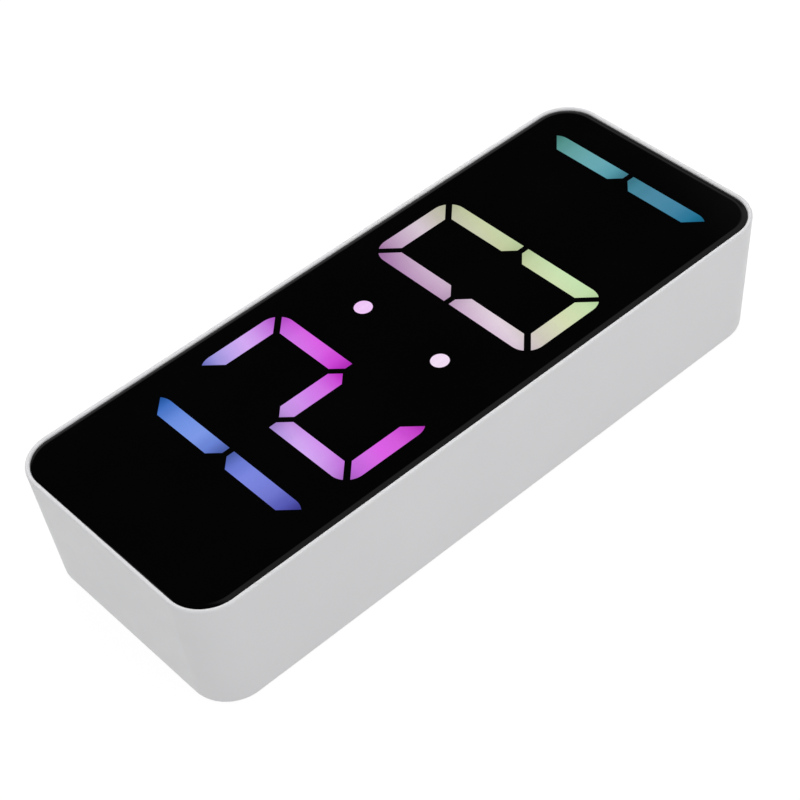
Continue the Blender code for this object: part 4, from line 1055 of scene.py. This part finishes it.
def screw_profile(head, head_height, shank, shank_length):
    """A pan head at level 0 and below it, and a shank with ridges for its thread."""
    pitch, root_share = 0.0005, 0.82
    edge = head_height / 2
    profile = [(0, 0)] + quarter(head - edge, -edge, edge, 90, 0) + [(head, -head_height)]
    level = -head_height - pitch
    profile += [(shank, -head_height), (shank, level)]
    tip = -head_height - shank_length
    while level - pitch > tip + shank:
        profile += [(shank * root_share, level - pitch / 2), (shank, level - pitch)]
        level -= pitch
    return profile + [(shank / 2, tip + shank / 4), (0, tip)]


def build_screw(node, head_height, shank, faces):
    """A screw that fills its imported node's box, with a cross recess. faces is 1 where its head faces up."""
    recess_share = 0.55
    low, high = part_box(node)
    head = (high.x - low.x) / 2
    bm = turned(screw_profile(head, head_height, shank, high.z - low.z - head_height), [(0, 0, 0)])
    bm = cut(bm, outline_solid([cross_outline(head)], -head_height * recess_share, OVERRUN))
    if faces < 0:
        bmesh.ops.rotate(bm, verts=bm.verts, matrix=Matrix.Rotation(math.pi, 3, "X"))
    place = (*middle_of(node).xy, high.z if faces > 0 else low.z)
    bmesh.ops.translate(bm, verts=bm.verts, vec=place)
    return bm


class CLOCK_OT_screws(bpy.types.Operator):
    """The screws of the case, the main board and the battery door"""

    bl_idname = "clock.screws"
    bl_label = "Screws"

    def execute(self, context):
        # Height of the head, radius of the shank, and where the head faces
        case, main_board, door = (0.0018, 0.0013, -1), (0.0013, 0.0010, 1), (0.0005, 0.0010, -1)
        for number in FOUR:
            for kind, measures in (("case_screw", case), ("main_board_screw", main_board)):
                node = f"{kind}_{number}"
                finish_piece(f"{kind}_piece_{number}", build_screw(node, *measures), node, "plated_steel")
        node = "battery_door_screw"
        finish_piece("door_screw", build_screw(node, *door), node, "plated_steel", "door_body")
        return {"FINISHED"}


class CLOCK_OT_door(bpy.types.Operator):
    """The battery door with its grip"""

    bl_idname = "clock.door"
    bl_label = "Battery door"

    def execute(self, context):
        corner, edge, shank = 0.0017, 0.0002, 0.0010
        inset, pitch, half, width, depth, end_steps = 0.0040, 0.0018, 0.0060, 0.0008, 0.0004, 6
        low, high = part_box("battery_door")
        bm = rounded_block(low, high, corner)
        round_edges(bm, level_edges(bm, low.z), edge, EDGE_STEPS)
        round_edges(bm, level_edges(bm, high.z), edge)
        for k in range(4):
            x = low.x + inset + k * pitch
            block_low, block_high = (x, -half, low.z - OVERRUN), (x + width, half, low.z + depth)
            bm = cut(bm, rounded_block(block_low, block_high, width / 2 - TINY, end_steps))
        screw_low, screw_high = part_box("battery_door_screw")
        head = (screw_high.x - screw_low.x) / 2 + GAP
        profile = stepped(shank + GAP, head, low.z - OVERRUN, (low.z + high.z) / 2, high.z + OVERRUN)
        bm = cut(bm, turned(profile, axes_of("battery_door_screw")))
        rest = context.scene.clock_sizes.opening_edge / 2
        round_edges(bm, sharp_edges(level_edges(bm, low.z)), rest)
        finish_piece("door", bm, "battery_door", "white_plastic", "door_body")
        return {"FINISHED"}


class CLOCK_OT_power_socket(bpy.types.Operator):
    """The flat power socket: a folded sleeve, its tongue and its contacts"""

    bl_idname = "clock.power_socket"
    bl_label = "Power socket"

    def execute(self, context):
        wall, depth, edge = 0.0004, 0.0060, 0.0001
        half_x, half_y, tongue_inset, tongue_corner, tongue_steps = 0.0033, 0.00035, 0.0009, 0.0002, 4
        pad_count, pad_pitch, pad_half, pad_inset = 6, 0.0010, 0.00015, 0.0005
        pad_sunk, pad_proud, pad_edge = 0.00005, 0.00004, 0.00002
        node = "power_socket"
        low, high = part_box(node)
        radius = (high.y - low.y) / 2 - TINY
        sleeve = rounded_block(low, high, radius, FILLET_STEPS)
        sleeve = cut(sleeve, grown_block((low, high), -wall, low.z - OVERRUN, low.z + depth, radius - wall))
        round_edges(sleeve, sharp_edges(level_edges(sleeve, low.z)), edge)
        finish_piece("socket_sleeve", sleeve, node, "plated_steel")
        x, y = middle_of(node).xy
        front, back = low.z + tongue_inset, low.z + depth
        corners = (x - half_x, y - half_y, front), (x + half_x, y + half_y, back)
        tongue = rounded_block(*corners, tongue_corner, tongue_steps)
        round_edges(tongue, level_edges(tongue, front), edge)
        finish_piece("socket_tongue", tongue, node, "black_plastic")
        pads = bmesh.new()
        for k in range(pad_count):
            pad_x = x + (k - (pad_count - 1) / 2) * pad_pitch
            for side in (-1, 1):
                near, far = sorted((y + side * (half_y - pad_sunk), y + side * (half_y + pad_proud)))
                add_block(pads, (pad_x - pad_half, near, front + pad_inset), (pad_x + pad_half, far, back))
        round_edges(pads, pads.edges, pad_edge, 1)
        finish_piece("socket_contacts", pads, node, "plated_steel")
        return {"FINISHED"}


class CLOCK_OT_cells(bpy.types.Operator):
    """The three cells and the springs behind them"""

    bl_idname = "clock.cells"
    bl_label = "Cells and springs"

    def execute(self, context):
        for number, side in ((1, -1), (2, 1), (3, -1)):
            node = f"battery_cell_{number}"
            finish = cell_wrapper(side)
            finish_piece(f"cell_{number}", build_cell(node, side), node, "cell_wrapper", finish=finish)
            node = f"cell_spring_{number}"
            finish_piece(f"coil_{number}", build_coil(node, -side), node, "plated_steel")
        return {"FINISHED"}


def build_cell(node, side):
    """A cell along X whose nub is on the given side, with its sleeve rolled over both ends."""
    nub, nub_radius, nub_edge, roll, lip, sunk, steps = 0.0008, 0.0019, 0.0003, 0.0005, 0.0012, 0.0002, 72
    low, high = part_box(node)
    whole, radius = high.x - low.x, (high.z - low.z) / 2
    body = whole - nub
    profile = [(0, whole)] + quarter(nub_radius - nub_edge, whole - nub_edge, nub_edge, 90, 0, 4)
    profile += [(nub_radius, body - sunk), (radius - lip, body - sunk), (radius - lip, body)]
    profile += quarter(radius - roll, body - roll, roll, 90, 0)
    profile += quarter(radius - roll, roll, roll, 0, -90)
    profile += [(radius - lip, 0), (radius - lip, sunk), (0, sunk)]
    bm = turned(profile, [(0, 0, 0)], steps)
    bmesh.ops.rotate(bm, verts=bm.verts, matrix=Matrix.Rotation(side * math.pi / 2, 3, "Y"))
    place = (low.x if side > 0 else high.x, *middle_of(node).yz)
    bmesh.ops.translate(bm, verts=bm.verts, vec=place)
    return bm


def build_coil(node, side):
    """A spring along X whose base is on the given side."""
    wire, wire_steps, turns, per_turn = 0.0003, 10, 3.5, 28
    low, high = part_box(node)
    middle = (low + high) / 2
    radius = (high.z - low.z) / 2 - wire
    start = high.x - wire if side > 0 else low.x + wire
    steps = round(turns * per_turn)
    bm = bmesh.new()
    matrix = Matrix.Translation((start, middle.y + radius, middle.z))
    bmesh.ops.create_circle(bm, cap_ends=True, radius=wire, segments=wire_steps, matrix=matrix)
    geom = [*bm.verts, *bm.edges, *bm.faces]
    turn = {"cent": (start, middle.y, middle.z), "axis": (1, 0, 0), "angle": 2 * math.pi * turns}
    rise = (-side * (high.x - low.x - 2 * wire) / steps, 0, 0)
    bmesh.ops.spin(bm, geom=geom, dvec=rise, steps=steps, **turn)
    bmesh.ops.recalc_face_normals(bm, faces=bm.faces)
    return bm


class CLOCK_OT_fittings(bpy.types.Operator):
    """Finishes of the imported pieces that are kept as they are"""

    bl_idname = "clock.fittings"
    bl_label = "Fittings"

    def execute(self, context):
        for subpart in frame["record"]["subparts"]:
            obj = frame["nodes"][subpart["node"]]
            if not obj.hide_render:
                obj.data.materials.clear()
                obj.data.materials.append(slot_finish(subpart["material_slot"]))
        return {"FINISHED"}


# The add-on


OPERATORS = (
    CLOCK_OT_studio, CLOCK_OT_housing, CLOCK_OT_front_panel, CLOCK_OT_digits, CLOCK_OT_buttons,
    CLOCK_OT_screws, CLOCK_OT_door, CLOCK_OT_power_socket, CLOCK_OT_cells, CLOCK_OT_fittings,
)


class CLOCK_PT_pieces(bpy.types.Panel):
    """Lists the clock's pieces and sizes"""

    bl_idname = "CLOCK_PT_pieces"
    bl_label = "Desk Clock"
    bl_space_type = "VIEW_3D"
    bl_region_type = "UI"
    bl_category = "Clock"

    def draw(self, context):
        for operator in OPERATORS:
            self.layout.operator(operator.bl_idname)
        for group, kind in GROUPS.items():
            box = self.layout.box()
            for name in kind.__annotations__:
                box.prop(getattr(context.scene, group), name)


GROUPS = {"clock_sizes": ClockSizes, "clock_colours": ClockColours, "clock_studio": ClockStudio}
CLASSES = (*GROUPS.values(), *OPERATORS, CLOCK_PT_pieces)


def register():
    for item in CLASSES:
        bpy.utils.register_class(item)
    for name, group in GROUPS.items():
        setattr(bpy.types.Scene, name, PointerProperty(type=group))


def unregister():
    for name in GROUPS:
        delattr(bpy.types.Scene, name)
    for item in reversed(CLASSES):
        bpy.utils.unregister_class(item)


def main():
    register()
    bpy.context.scene.view_settings.view_transform = "Standard"
    bpy.ops.clock.studio()
    bpy.ops.clock.housing()
    bpy.ops.clock.front_panel()
    bpy.ops.clock.digits()
    bpy.ops.clock.buttons()
    bpy.ops.clock.screws()
    bpy.ops.clock.door()
    bpy.ops.clock.power_socket()
    bpy.ops.clock.cells()
    bpy.ops.clock.fittings()


if __name__ == "__main__":
    main()
